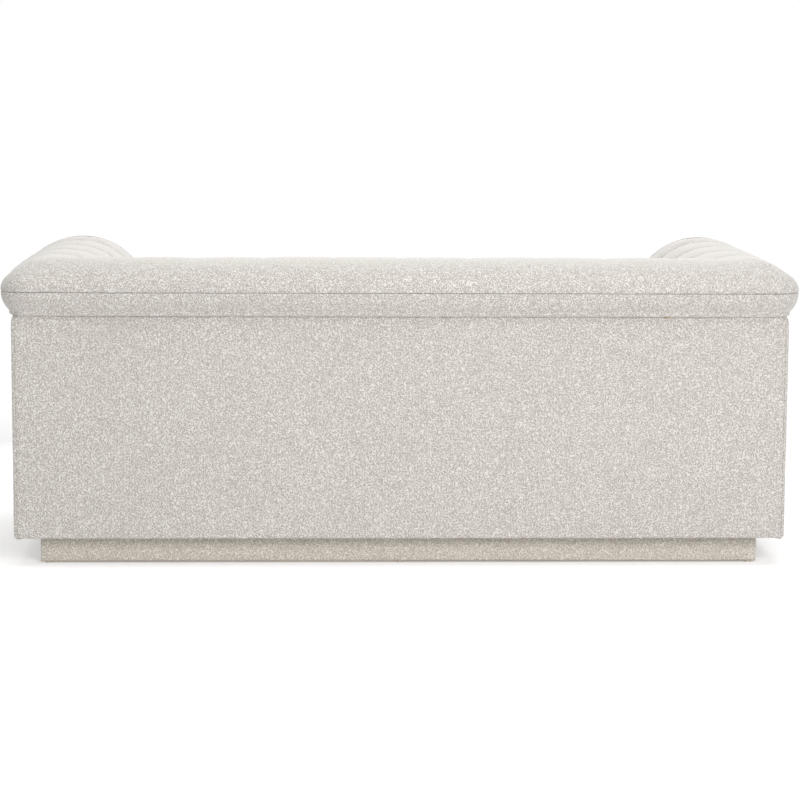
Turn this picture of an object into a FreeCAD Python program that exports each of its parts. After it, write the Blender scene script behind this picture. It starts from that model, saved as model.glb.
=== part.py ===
"""Tuxedo sofa with a rolled top edge, channelled arms and back, on a recessed plinth.

Frame: millimetres, +Z up, origin on the floor under the middle of the sofa.
The front faces -Y, and left is -X as seen from the front.
Section coordinates: u runs outward from the outside panel, z runs up from the floor.
"""
import FreeCAD, Part

import math
import os
from functools import partial

from FreeCAD import Placement, Vector

# Driving dimensions: name, value in millimetres, degrees or counts, and what it sets
DRIVING = [
    ("overall_width", 2060, "across the arm rolls at their widest"),
    ("overall_depth", 970, "from the arm fronts to the rear of the back roll"),
    ("overall_height", 795, "floor to the crest of the rolls"),
    ("roll_overhang", 33, "how far the roll stands out from the outside panel"),
    ("roll_rise", 81, "crest of the roll above its widest line"),
    ("band_height", 61, "widest line above the seam under the roll"),
    ("nose_radius", 60, "round of the roll above its widest line"),
    ("crest_inset", 104, "crest line inside the outside panel"),
    ("roll_radius", 190, "round of the roll from its crest to the inside face"),
    ("back_rake", 7, "lean of the inside back, degrees"),
    ("pad", 45, "thickness of the channelled padding"),
    ("skin", 3, "thickness of the bent panels under the padding"),
    ("cover", 3, "outside cover with its stiff backing"),
    ("hem_gap", 1.5, "folded edge of an outside cover to the plinth"),
    ("skin_play", 0.2, "bent panel to frame board"),
    ("facing", 4, "arm front facing with its backing"),
    ("ply", 18, "frame board thickness"),
    ("rail", 25, "seat rail thickness"),
    ("box_bottom", 75, "underside of the upholstered box"),
    ("plinth_inset", 62, "plinth behind the outside panels"),
    ("plinth_cloth", 2, "plinth cover thickness"),
    ("glide_height", 5, "glide under the plinth"),
    ("glide_diameter", 16, "glide under the plinth"),
    ("cross_board_spacing", 310, "cross boards of the plinth from the middle"),
    ("dust_cloth", 1, "dust cover thickness"),
    ("rail_top", 265, "top of the seat rails"),
    ("centre_rail_top", 190, "top of the centre rail"),
    ("deck_bottom", 302, "underside of the deck pad"),
    ("deck_pad", 10, "deck pad thickness"),
    ("edge_roll_depth", 24, "front edge roll of the deck, front to back"),
    ("edge_roll_drop", 27, "front edge roll below the deck pad"),
    ("border_setback", 12, "front border behind the arm fronts"),
    ("back_channels", 8, "channels across the inside back"),
    ("arm_channels", 4, "channels along each arm"),
    ("arm_channel_width", 180, "seam to seam along the arm"),
    ("corner_reach", 262, "first arm seam in front of the outside back"),
    ("channel_depth", 14, "seam below the crown of a channel"),
    ("corner_round", 45, "upright axis of a rear corner inside the outside panels"),
    ("bottom_rail_height", 70, "outside bottom rails"),
    ("nose_rail_height", 50, "rails behind the lower band"),
    ("top_rail_width", 70, "flat rails under the crest"),
    ("top_rail_drop", 53, "top of the flat rails below the crest"),
    ("tack_rail_height", 50, "rail at the foot of the inside back"),
    ("tack_rail_set", 6, "tack rail front behind the rib corner"),
    ("outer_rib_inset", 22, "outer back ribs inside the inside face of the arms"),
    ("back_rib_count", 4, "back ribs"),
    ("middle_rib_station", -175, "arm middle rib, along the depth"),
    ("window_width", 120, "lightening window in a rib"),
    ("window_height", 165, "lightening window in a rib"),
    ("window_corner", 30, "sloped corner of the window"),
    ("window_low", 190, "lower window above the floor"),
    ("window_gap", 50, "between the two windows"),
    ("window_edge", 62, "window behind the outer edge of the rib"),
    ("post", 40, "rear corner posts, square"),
    ("plinth_block", 60, "glue block leg in the plinth"),
    ("plinth_block_low", 12, "glue blocks above the floor"),
    ("seat_block", 70, "glue block leg in the seat frame"),
    ("seat_block_low", 90, "seat glue blocks above the floor"),
    ("seat_block_height", 150, "seat glue blocks"),
    ("bolt_diameter", 8, "plinth bolt shank"),
    ("bolt_grip", 108, "plinth bolt under its head"),
    ("bolt_head", 5.5, "bolt head height"),
    ("bolt_flats", 13, "bolt head across flats"),
    ("bolt_play", 0.25, "clearance round the bolt, on the radius"),
    ("webbing_width", 50, "elastic strap"),
    ("webbing_thickness", 2.5, "elastic strap"),
    ("webbing_low", 400, "middle of the lowest strap"),
    ("webbing_pitch", 80, "strap to strap"),
    ("webbing_count", 3, "straps behind the inside back"),
    ("springs_per_seat", 4, "sinuous springs under each cushion"),
    ("spring_wire", 3.8, "spring wire"),
    ("spring_width", 46, "sinuous spring across its bends"),
    ("spring_waves", 14, "half waves along a spring"),
    ("spring_chords", 6, "straight chords of the arch of a spring"),
    ("spring_bend", 0.2, "bend of a spring beyond a rung, share of a half wave"),
    ("clip_metal", 1.2, "spring clip sheet"),
    ("clip_width", 24, "spring clip along the rail"),
    ("clip_depth", 14, "spring clip across the rail"),
    ("clip_play", 0.7, "clearance between wire and clip"),
    ("tie_wire", 3.2, "wire across the springs"),
    ("tie_reach", 95, "tie wires from the middle of the deck"),
    ("cushion_height", 150, "seat cushion at its seams, top to bottom"),
    ("cushion_crown", 14, "top of the cushion above its seam"),
    ("cushion_draw", 9, "seams of the cushion inside its widest line"),
    ("cushion_crown_reach", 162, "flat of the crown inside the widest line"),
    ("cushion_under", 36, "flat of the underside inside the widest line"),
    ("cushion_corner", 42, "plan corner of a cushion"),
    ("cushion_play", 1.5, "cushion to arm, back and neighbour"),
    ("cushion_front", 2, "cushion behind the arm fronts"),
    ("core_inset", 22, "foam core inside the cushion"),
    ("core_radius", 25, "upright corners of the foam core"),
    ("core_play", 0.4, "fibre wrap to core"),
    ("soft_gap", 0.3, "soft pieces of different bodies"),
]

# Places worked out from the driving dimensions, as expressions on the sheet
PLACES = [
    ("panel_x", "overall_width / 2 - roll_overhang"),
    ("panel_y", "overall_depth / 2 - roll_overhang"),
    ("front_y", "-overall_depth / 2"),
    ("wide_z", "overall_height - roll_rise"),
    ("seam_z", "wide_z - band_height"),
    ("frame_z", "box_bottom + cover"),
    ("build_up", "pad + skin"),
    ("board_x", "panel_x - cover"),
    ("board_y", "panel_y - cover"),
    ("nose_in", "build_up - roll_overhang"),
    ("arm_inside_x", "panel_x - crest_inset - roll_radius"),
    ("arm_frame_x", "arm_inside_x + build_up"),
    ("arm_start_y", "front_y + facing"),
    ("top_rail_z", "overall_height - top_rail_drop"),
    ("rake_foot", "roll_radius / cos(back_rake * 1 deg)"),
    ("rake_run", "(overall_height - roll_radius - deck_bottom) * tan(back_rake * 1 deg)"),
    ("inside_y", "panel_y - crest_inset - rake_foot - rake_run"),
    ("rib_front_y", "inside_y + build_up / cos(back_rake * 1 deg)"),
    ("border_y", "front_y + border_setback"),
    ("rail_front_y", "border_y + cover"),
    ("seat_front_y", "rail_front_y + rail"),
    ("seat_back_y", "rib_front_y - rail"),
    ("seat_side_x", "arm_frame_x - rail"),
    ("plinth_x", "panel_x - plinth_inset - plinth_cloth"),
    ("plinth_back_y", "panel_y - plinth_inset - plinth_cloth"),
    ("plinth_front_y", "front_y + plinth_inset + plinth_cloth"),
    ("dust_z", "frame_z - dust_cloth"),
    ("deck_top", "deck_bottom + deck_pad"),
    ("outer_rib_x", "arm_inside_x - outer_rib_inset"),
    ("back_rib_pitch", "outer_rib_x * 2 / (back_rib_count - 1)"),
    ("turn_x", "panel_x - corner_round"),
    ("turn_y", "panel_y - corner_round"),
]

# Straight chords that stand for a curve
CROWN_STEPS = 2
SWELL_STEPS = 2
CUSHION_CROWN_STEPS = 3
CORNER_CHORDS = 4
CHORD_ANGLE = 15

document = FreeCAD.newDocument("TuxedoSofa")
sheet = document.addObject("Spreadsheet::Sheet", "Sizes")
for row, (alias, value, note) in enumerate(DRIVING, start=1):
    sheet.set(f"A{row}", alias)
    sheet.set(f"B{row}", str(value))
    sheet.setAlias(f"B{row}", alias)
    sheet.set(f"C{row}", note)
document.recompute()

places = document.addObject("App::VarSet", "Places")
DRIVING_NAMES = {alias for alias, _, _ in DRIVING}
PLACE_NAMES = {name for name, _ in PLACES}


def bound(text):
    """An expression with each named value tied to the sheet or to the places."""
    words = []
    word = ""
    for letter in text + " ":
        if letter.isalnum() or letter in "_.":
            word += letter
            continue
        if word in DRIVING_NAMES:
            word = f"Sizes.{word}"
        elif word in PLACE_NAMES:
            word = f"Places.{word}"
        words.append(word + letter)
        word = ""
    return "".join(words).strip()


for name, rule in PLACES:
    places.addProperty("App::PropertyFloat", name, "Places")
    places.setExpression(name, bound(rule))
document.recompute()


def size(name):
    """The number behind a driving dimension or a place."""
    if name in PLACE_NAMES:
        return float(getattr(places, name))
    return float(getattr(sheet, name))


def count(name):
    """A driving count as a whole number."""
    return int(round(size(name)))


nodes = {}


def keep(item, label):
    """Mark an object of the document as a sub-part under its own label."""
    item.Label = label
    nodes[label] = item
    return item


def block(name, x, y, z):
    """A square-cut board between two expressions on each axis."""
    item = document.addObject("Part::Box", name)
    for side, axis, (low, high) in (("Length", "x", x), ("Width", "y", y), ("Height", "z", z)):
        item.setExpression(side, bound(f"({high}) - ({low})"))
        item.setExpression(f"Placement.Base.{axis}", bound(low))
    return item


def board(label, x, y, z):
    """A square-cut board that is a sub-part of its own."""
    return keep(block(label, x, y, z), label)


def bundle(label, items):
    """Several separate pieces of one kind under one label."""
    item = document.addObject("Part::Compound", label)
    item.Links = items
    return keep(item, label)


def formed(label, shape):
    """A sub-part whose surface is worked out from the sheet."""
    item = document.addObject("Part::Feature", label)
    item.Shape = shape
    item.Placement = Placement()
    return keep(item, label)


def sides():
    """The left and right side of the sofa: name and sign along X."""
    return (("left", -1), ("right", 1))


def span(sign, low, high):
    """The limits of a piece on one side, written for the right side."""
    return (low, high) if sign > 0 else (f"-({high})", f"-({low})")


class Roll:
    """Section of the rolled edge: nose, crown, crest and inside face."""

    def __init__(self, rake):
        self.rake = rake
        self.crest = -size("crest_inset")
        self.top = size("overall_height")
        self.wide = size("wide_z")
        self.nose_radius = size("nose_radius")
        self.nose = (size("roll_overhang") - self.nose_radius, self.wide)
        reach = self.nose[0] - self.crest
        fall = self.wide - self.top
        self.crown_radius = (reach**2 + fall**2 - self.nose_radius**2) / (-2 * (fall + self.nose_radius))
        self.crown = (self.crest, self.top - self.crown_radius)
        self.turn = math.degrees(math.atan2(self.nose[1] - self.crown[1], reach))
        self.inner_radius = size("roll_radius")
        self.inner = (self.crest, self.top - self.inner_radius)

    @staticmethod
    def on(centre, radius, angle):
        """A point of a circle of the section."""
        turn = math.radians(angle)
        return (centre[0] + radius * math.cos(turn), centre[1] + radius * math.sin(turn))

    def arc(self, centre, radius, start, end):
        """An arc step: its middle and its end."""
        return [self.on(centre, radius, (start + end) / 2), self.on(centre, radius, end)]

    def outside(self, inset):
        """From the widest line over the nose to the crest."""
        return [
            (self.nose[0] + self.nose_radius - inset, self.wide),
            self.arc(self.nose, self.nose_radius - inset, 0, self.turn),
            self.arc(self.crown, self.crown_radius - inset, self.turn, 90),
        ]

    def inside_round(self, inset):
        """From the crest to where the inside face runs straight."""
        return [self.arc(self.inner, self.inner_radius - inset, 90, 180 - self.rake)]

    def foot(self, inset, low):
        """Where the inside face meets a level."""
        start = self.on(self.inner, self.inner_radius - inset, 180 - self.rake)
        return (start[0] - (start[1] - low) * math.tan(math.radians(self.rake)), low)

    def whole(self, inset, low):
        """Filled outline of the roll and its inside face down to a level."""
        steps = self.outside(inset) + self.inside_round(inset)
        return steps + [self.foot(inset, low), (self.crest, low), (self.crest, self.wide)]

    def rear_half(self, inset):
        """Filled outline of the roll behind its crest."""
        return self.outside(inset) + [(self.crest, self.wide)]

    def front_half(self, inset, low):
        """Filled outline of the inside face from the crest down to a level."""
        start = [(self.crest, self.top - inset)]
        return start + self.inside_round(inset) + [self.foot(inset, low), (self.crest, low)]

    def rear_edge(self, axis):
        """Filled outline of the roll outside an upright axis."""
        angle = math.degrees(math.acos((axis - self.crest) / self.crown_radius))
        return [
            (self.nose[0] + self.nose_radius, self.wide),
            self.arc(self.nose, self.nose_radius, 0, self.turn),
            self.arc(self.crown, self.crown_radius, self.turn, angle),
            (axis, self.wide),
        ]

    def chorded(self, inset, low, rear):
        """Points of the whole roll, or of its inside face alone, joined by short chords."""
        arcs = [
            (self.nose, self.nose_radius, 0, self.turn),
            (self.crown, self.crown_radius, self.turn, 90),
            (self.inner, self.inner_radius, 90, 180 - self.rake),
        ]
        points = []
        for centre, radius, first, last in arcs if rear else arcs[-1:]:
            steps = round((last - first) / CHORD_ANGLE)
            for step in range(steps):
                angle = first + (last - first) * step / steps
                points.append(self.on(centre, radius - inset, angle))
        points.append(self.on(self.inner, self.inner_radius - inset, 180 - self.rake))
        points += [self.foot(inset, low), (self.crest, low)]
        return points + [(self.crest, self.wide)] if rear else points

    def head(self, inset):
        """Filled outline of the roll alone, without the straight inside face."""
        steps = self.outside(inset) + self.inside_round(inset)
        end = self.on(self.inner, self.inner_radius - inset, 180 - self.rake)
        return steps + [(self.crest, end[1]), (self.crest, self.wide)]

    def front_head(self, inset):
        """Filled outline of the round from the crest to the inside face."""
        end = self.on(self.inner, self.inner_radius - inset, 180 - self.rake)
        start = [(self.crest, self.top - inset)]
        return start + self.inside_round(inset) + [(self.crest, end[1])]

    def band(self, inner):
        """Outline of the soft band between the roll and the outside panel."""
        reach = size("roll_overhang")
        rise = size("band_height")
        radius = (reach**2 + rise**2) / (2 * reach)
        lean = math.degrees(math.asin(rise / radius))
        centre = (reach - radius, self.wide)
        return [
            (0, self.wide - rise),
            self.arc(centre, radius, -lean, 0),
            (inner, self.wide),
            (inner, self.wide - rise),
        ]


arm_roll = Roll(0)
back_roll = Roll(size("back_rake"))


def traced(outline, place):
    """Lines and arcs of a closed outline, with its points put in place."""
    curves = []
    start = place(*outline[0])
    for step in outline[1:]:
        if isinstance(step, list):
            middle, end = (place(*point) for point in step)
            curves.append(Part.Arc(start, middle, end))
        else:
            end = place(*step)
            curves.append(Part.LineSegment(start, end))
        start = end
    close = place(*outline[0])
    if not start.isEqual(close, 1e-6):
        curves.append(Part.LineSegment(start, close))
    return curves


def wire(outline, place):
    """A closed wire through an outline."""
    return Part.Wire([curve.toShape() for curve in traced(outline, place)])


def arm_place(sign, station):
    """Section coordinates of an arm at a station along the depth."""
    return lambda u, z: Vector(sign * (size("panel_x") + u), station, z)


def back_place(station):
    """Section coordinates of the back at a station along the width."""
    return lambda u, z: Vector(station, size("panel_y") + u, z)


def arm_prism(outline, sign, start, end):
    """An outline of an arm drawn out along the depth."""
    face = Part.Face(wire(outline, arm_place(sign, start)))
    return face.extrude(Vector(0, end - start, 0))


def back_prism(outline, start, end):
    """An outline of the back drawn out along the width."""
    face = Part.Face(wire(outline, back_place(start)))
    return face.extrude(Vector(end - start, 0, 0))


def polygon(points):
    """A flat face with given corners."""
    return Part.Face(Part.makePolygon(points + points[:1]))


def arm_side(sign):
    """The plan area on the arm's side of the upright plane that mitres it to the back."""
    reach = size("overall_width")
    x = size("panel_x")
    y = size("panel_y")
    corners = [(x - reach, y - reach), (x + reach, y - reach), (x + reach, y + reach)]
    points = [Vector(sign * corner_x, corner_y, 0) for corner_x, corner_y in corners]
    face = polygon(points)
    return face.extrude(Vector(0, 0, reach))


def faceted(rings):
    """A solid of flat faces through matching rings of points."""
    faces = [polygon(rings[0]), polygon(rings[-1])]
    for ring, onward in zip(rings, rings[1:]):
        for index in range(len(ring)):
            before = index - 1
            faces.append(polygon([ring[before], ring[index], onward[index], onward[before]]))
    shell = Part.makeShell(faces)
    shell.sewShape()
    solid = Part.makeSolid(shell)
    return solid if solid.Volume > 0 else solid.reversed()


def channel(roll, place_at, rear, start, end):
    """A filled channel between two seams: the roll, crowned from seam to seam."""
    middle = (start + end) / 2
    half = (end - start) / 2
    rings = []
    for step in range(-CROWN_STEPS, CROWN_STEPS + 1):
        turn = math.radians(90 * step / CROWN_STEPS)
        inset = size("channel_depth") * (1 - math.cos(turn))
        place = place_at(middle + half * math.sin(turn))
        outline = roll.chorded(inset, size("deck_bottom"), rear)
        rings.append([place(*point) for point in outline])
    return faceted(rings)


def corner_half(edge, place, sign, angle):
    """Half of a rear corner: an outline turned round the upright axis of the corner."""
    axis_foot = Vector(sign * size("turn_x"), size("turn_y"), 0)
    return Part.Face(wire(edge, place)).revolve(axis_foot, Vector(0, 0, 1), angle)


def corner_space(sign):
    """Everything outside the two upright planes through the axis of a rear corner."""
    reach = size("overall_width")
    low_x = size("turn_x") if sign > 0 else -size("turn_x") - reach
    return Part.makeBox(reach, reach, reach, Vector(low_x, size("turn_y"), 0))


def arm_run(outline, edge, sign, start):
    """An outline of an arm run to the rear and half way round the rear corner."""
    rear = size("overall_depth") / 2 + 1
    run = arm_prism(outline, sign, start, rear).common(arm_side(sign)).cut(corner_space(sign))
    return run.fuse(corner_half(edge, arm_place(sign, size("turn_y")), sign, 45 * sign))


def back_run(outline, edge):
    """An outline of the back run across and half way round both rear corners."""
    reach = size("overall_width") / 2 + 1
    run = back_prism(outline, -reach, reach)
    for _, sign in sides():
        run = run.cut(arm_side(sign)).cut(corner_space(sign))
        run = run.fuse(corner_half(edge, back_place(sign * size("turn_x")), sign, -45 * sign))
    return run


def single(shape):
    """The one solid of a result that must be one piece."""
    solids = shape.Solids
    if len(solids) != 1:
        raise ValueError(f"expected one solid, found {len(solids)}")
    return solids[0]


def sketched_board(name, plane, outline, place, thickness):
    """A body cut from sheet: an outline on an origin plane, padded to both sides."""
    body = document.addObject("PartDesign::Body", name)
    sketch = on_plane(body, plane, f"{name}_outline", traced(outline, place))
    pad = body.newObject("PartDesign::Pad", f"{name}_thickness")
    pad.Profile = sketch
    pad.SideType = "Symmetric"
    pad.setExpression("Length", bound(thickness))
    body.Tip = pad
    document.recompute()
    return body


def on_plane(body, plane, name, curves):
    """A sketch of given curves on one of the body's own origin planes."""
    sketch = body.newObject("Sketcher::SketchObject", name)
    support = [item for item in body.Origin.OriginFeatures if item.Role == plane][0]
    sketch.AttachmentSupport = (support, [""])
    sketch.MapMode = "FlatFace"
    sketch.addGeometry(curves, False)
    return sketch


def cut_through(body, plane, name, outlines, place):
    """Pocket outlines through the whole thickness of a body."""
    curves = []
    for outline in outlines:
        curves += traced(outline, place)
    sketch = on_plane(body, plane, f"{name}_outline", curves)
    before = body.Shape.Volume
    pocket = body.newObject("PartDesign::Pocket", name)
    pocket.Profile = sketch
    pocket.Type = "ThroughAll"
    pocket.SideType = "Symmetric"
    body.Tip = pocket
    document.recompute()
    if body.Shape.Volume >= before:
        raise ValueError(f"{name} cuts nothing")


def section_place(sign, panel):
    """Section coordinates in a sketch on an upright origin plane."""
    return lambda u, z: Vector(sign * (size(panel) + u), z, 0)


def rectangle(low_u, high_u, low_z, high_z):
    """A plain rectangular outline."""
    return [(low_u, low_z), (high_u, low_z), (high_u, high_z), (low_u, high_z)]


def window(low_u, low_z):
    """A lightening window with sloped corners."""
    corner = size("window_corner")
    high_u = low_u + size("window_width")
    high_z = low_z + size("window_height")
    return [
        (low_u + corner, low_z),
        (high_u - corner, low_z),
        (high_u, low_z + corner),
        (high_u, high_z - corner),
        (high_u - corner, high_z),
        (low_u + corner, high_z),
        (low_u, high_z - corner),
        (low_u, low_z + corner),
    ]


def rib_outline(roll, foot_level):
    """Edge of a frame board under the padding, with a shoulder for the lower band."""
    edge = -size("cover")
    nose = -size("nose_in")
    seam = size("seam_z")
    low = size("frame_z")
    inset = size("build_up")
    foot = roll.foot(inset, foot_level)
    upper = roll.outside(inset) + roll.inside_round(inset)
    return [(edge, low), (edge, seam), (nose, seam)] + upper + [foot, (foot[0], low)]


def rail_notches():
    """Notches for the bottom, nose and top rails."""
    ply = size("ply")
    edge = -size("cover")
    nose = -size("nose_in")
    low = size("frame_z")
    wide = size("wide_z")
    half = size("top_rail_width") / 2
    crest = -size("crest_inset")
    return [
        rectangle(edge - ply, edge, low, low + size("bottom_rail_height")),
        rectangle(nose - ply, nose, wide - size("nose_rail_height"), wide),
        rectangle(crest - half, crest + half, size("top_rail_z") - ply, size("overall_height")),
    ]


def windows():
    """The two lightening windows of a rib."""
    right = -size("cover") - size("window_edge")
    low_u = right - size("window_width")
    low = size("window_low")
    high = low + size("window_height") + size("window_gap")
    return [window(low_u, low), window(low_u, high)]


def plinth():
    """The recessed base: boards, cross boards, cover and glides."""
    z = ("glide_height", "frame_z")
    board("plinth_front_board", ("-plinth_x", "plinth_x"), ("plinth_front_y", "plinth_front_y + ply"), z)
    board("plinth_back_board", ("-plinth_x", "plinth_x"), ("plinth_back_y - ply", "plinth_back_y"), z)
    inner_y = ("plinth_front_y + ply", "plinth_back_y - ply")
    for name, sign in sides():
        board(f"plinth_{name}_board", span(sign, "plinth_x - ply", "plinth_x"), inner_y, z)
    crosses = []
    for name, sign in sides():
        x = span(sign, "cross_board_spacing - ply / 2", "cross_board_spacing + ply / 2")
        crosses.append(block(f"cross_board_{name}", x, inner_y, ("glide_height", "dust_z")))
    bundle("plinth_cross_boards", crosses)

    outer = block(
        "plinth_cloth_outer",
        ("-plinth_x - plinth_cloth", "plinth_x + plinth_cloth"),
        ("plinth_front_y - plinth_cloth", "plinth_back_y + plinth_cloth"),
        ("glide_height", "box_bottom"),
    )
    inner = block(
        "plinth_cloth_inner",
        ("-plinth_x", "plinth_x"),
        ("plinth_front_y", "plinth_back_y"),
        ("0", "box_bottom + cover"),
    )
    cloth = document.addObject("Part::Cut", "plinth_cover")
    cloth.Base = outer
    cloth.Tool = inner
    keep(cloth, "plinth_cover")

    glides = []
    for place_x in ("-(plinth_x - ply)", "0", "plinth_x - ply"):
        for place_y in ("plinth_front_y + ply / 2", "plinth_back_y - ply / 2"):
            glide = document.addObject("Part::Cylinder", f"glide_{len(glides) + 1}")
            glide.setExpression("Radius", bound("glide_diameter / 2"))
            glide.setExpression("Height", bound("glide_height"))
            glide.setExpression("Placement.Base.x", bound(place_x))
            glide.setExpression("Placement.Base.y", bound(place_y))
            glides.append(glide)
    bundle("glides", glides)


def bolt_points():
    """Where the plinth bolts rise: into the seat side rails and the outer back ribs."""
    front = size("plinth_front_y") + size("ply") + size("plinth_block") / 2
    rear = size("plinth_back_y") - size("ply") - size("plinth_block") / 2
    side = size("seat_side_x") + size("rail") / 2
    rib = size("outer_rib_x")
    return [(sign * x, y) for x, y in ((side, front), (rib, rear)) for _, sign in sides()]


def bolt_holes(low, high):
    """Clearance cylinders round the plinth bolts."""
    radius = size("bolt_diameter") / 2 + size("bolt_play")
    holes = [Part.makeCylinder(radius, high - low, Vector(x, y, low)) for x, y in bolt_points()]
    return Part.makeCompound(holes)


def without(item, label, shape):
    """A sub-part with a shape taken out of it."""
    tool = document.addObject("Part::Feature", f"{label}_tool")
    tool.Shape = shape
    cut = document.addObject("Part::Cut", label)
    cut.Base = item
    cut.Tool = tool
    return keep(cut, label)


def glue_block(x, y, leg, low, height):
    """A three-cornered block in an inside corner; the sign of each place points outward."""
    inward_x = -math.copysign(leg, x)
    inward_y = -math.copysign(leg, y)
    points = [Vector(x, y, low), Vector(x + inward_x, y, low), Vector(x, y + inward_y, low)]
    face = polygon(points)
    return face.extrude(Vector(0, 0, height))


def joint_blocks():
    """Glue blocks of the plinth and the seat frame, and the blocks that the bolts pass."""
    ply = size("ply")
    low = size("plinth_block_low")
    high = size("dust_z")
    leg = size("plinth_block")
    side = size("plinth_x") - ply
    blocks = []
    for _, sign in sides():
        for y in (size("plinth_front_y") + ply, size("plinth_back_y") - ply):
            blocks.append(glue_block(sign * side, y, leg, low, high - low))
        for y in (size("seat_front_y"), size("seat_back_y")):
            x = sign * size("seat_side_x")
            height = size("seat_block_height")
            blocks.append(glue_block(x, y, size("seat_block"), size("seat_block_low"), height))
    holes = bolt_holes(low - 1, size("frame_z") + 1)
    for cube in bolt_cubes(low, size("frame_z")):
        blocks.append(single(cube.cut(holes)))
    formed("corner_blocks", Part.makeCompound(blocks))


def bolt_cubes(low, high):
    """The square blocks that the plinth bolts pass through."""
    leg = size("plinth_block")
    corners = [Vector(x - leg / 2, y - leg / 2, low) for x, y in bolt_points()]
    return [Part.makeBox(leg, leg, high - low, corner) for corner in corners]


def plinth_bolts():
    """Hexagon bolts up through the plinth blocks."""
    bolts = []
    for number, (x, y) in enumerate(bolt_points(), start=1):
        head = document.addObject("Part::Prism", f"bolt_head_{number}")
        head.Polygon = 6
        head.setExpression("Circumradius", bound("bolt_flats / 2 / cos(30 deg)"))
        head.setExpression("Height", bound("bolt_head"))
        shank = document.addObject("Part::Cylinder", f"bolt_shank_{number}")
        shank.setExpression("Radius", bound("bolt_diameter / 2"))
        shank.setExpression("Height", bound("bolt_grip"))
        head.Placement.Base = Vector(x, y, size("plinth_block_low") - size("bolt_head"))
        shank.Placement.Base = Vector(x, y, size("plinth_block_low"))
        bolt = document.addObject("Part::Fuse", f"bolt_{number}")
        bolt.Base = head
        bolt.Tool = shank
        bolts.append(bolt)
    bundle("plinth_bolts", bolts)


def seat_frame():
    """Rails of the seat and the dust cover under them."""
    z = ("frame_z", "rail_top")
    full = ("-arm_frame_x", "arm_frame_x")
    board("seat_front_rail", full, ("rail_front_y", "seat_front_y"), z)
    board("seat_back_rail", full, ("seat_back_y", "rib_front_y"), z)
    for name, sign in sides():
        x = span(sign, "seat_side_x", "arm_frame_x")
        rail = block(f"seat_{name}_rail_blank", x, ("seat_front_y", "seat_back_y"), z)
        without(rail, f"seat_{name}_rail", bolt_holes(size("frame_z") - 1, bolt_tip()))
    centre = ("-rail / 2", "rail / 2")
    board("seat_centre_rail", centre, ("seat_front_y", "seat_back_y"), ("frame_z", "centre_rail_top"))
    cloth = block(
        "dust_cloth_blank",
        ("-(plinth_x - ply)", "plinth_x - ply"),
        ("plinth_front_y + ply", "plinth_back_y - ply"),
        ("dust_z", "frame_z"),
    )
    without(cloth, "dust_cover", Part.makeCompound(bolt_cubes(size("dust_z") - 1, size("frame_z") + 1)))


def bolt_tip():
    """Level of the bottom of the bolt holes, just past the shanks."""
    return size("plinth_block_low") + size("bolt_grip") + size("bolt_play")


def spring_stations():
    """Places of the springs along the width."""
    pitch = size("seat_side_x") / count("springs_per_seat")
    steps = range(count("springs_per_seat"))
    return [sign * pitch * (step + 0.5) for _, sign in sides() for step in steps]


class SpringArch:
    """The shallow arch that the springs follow from rail to rail, in straight chords."""

    def __init__(self):
        inset = (size("rail") + size("spring_wire")) / 2
        self.start = size("seat_front_y") - inset
        self.end = size("seat_back_y") + inset
        self.middle = (self.start + self.end) / 2
        self.low = size("rail_top") + size("clip_metal") + size("clip_play")
        self.rise = size("deck_bottom") - size("soft_gap") - size("spring_wire") - self.low
        half = (self.end - self.start) / 2
        radius = (half**2 + self.rise**2) / (2 * self.rise)
        sweep = math.asin(half / radius)
        chords = count("spring_chords")
        self.points = []
        for step in range(chords + 1):
            turn = sweep * (2 * step / chords - 1)
            drop = radius * (1 - math.cos(turn))
            self.points.append((self.middle + radius * math.sin(turn), self.low + self.rise - drop))

    def level(self, y):
        """Underside of the wire at a place along the depth."""
        for (start, low), (end, high) in zip(self.points, self.points[1:]):
            if y <= end:
                break
        return low + (high - low) * (y - start) / (end - start)

    def strip(self):
        """A thin arched strip as wide as one spring and as thick as the wire."""
        wire_size = size("spring_wire")
        ends = (self.start - wire_size, self.end + wire_size)
        under = [(ends[0], self.level(ends[0]))] + self.points[1:-1] + [(ends[1], self.level(ends[1]))]
        profile = under + [(y, z + wire_size) for y, z in reversed(under)]
        reach = size("spring_width")
        points = [Vector(-reach, y, z) for y, z in profile]
        return polygon(points).extrude(Vector(2 * reach, 0, 0))


def offset_edge(route, half):
    """One edge of a band of even width along a plan route, with mitred turns."""
    edge = []
    for index, point in enumerate(route):
        before = route[max(index - 1, 0)]
        after = route[min(index + 1, len(route) - 1)]
        into = point - before if index else after - point
        onward = after - point if index < len(route) - 1 else into
        first = Vector(-into.y, into.x, 0).normalize()
        second = Vector(-onward.y, onward.x, 0).normalize()
        edge.append(point + (first + second) * (half / (1 + first.dot(second))))
    return edge


def spring_route(arch):
    """Plan route of one sinuous spring round x = 0: an end rung, slanting rungs, an end rung."""
    reach = (size("spring_width") - size("spring_wire")) / 2
    waves = count("spring_waves")
    pitch = (arch.end - arch.start) / waves
    route = [Vector(-reach, arch.start, 0)]
    side = reach
    bend = size("spring_bend")
    for wave in range(waves):
        first = 0 if wave == 0 else bend
        last = 1 if wave == waves - 1 else 1 - bend
        route.append(Vector(side, arch.start + pitch * (wave + first), 0))
        route.append(Vector(side, arch.start + pitch * (wave + last), 0))
        side = -side
    route.append(Vector(side, arch.end, 0))
    return route


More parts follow.
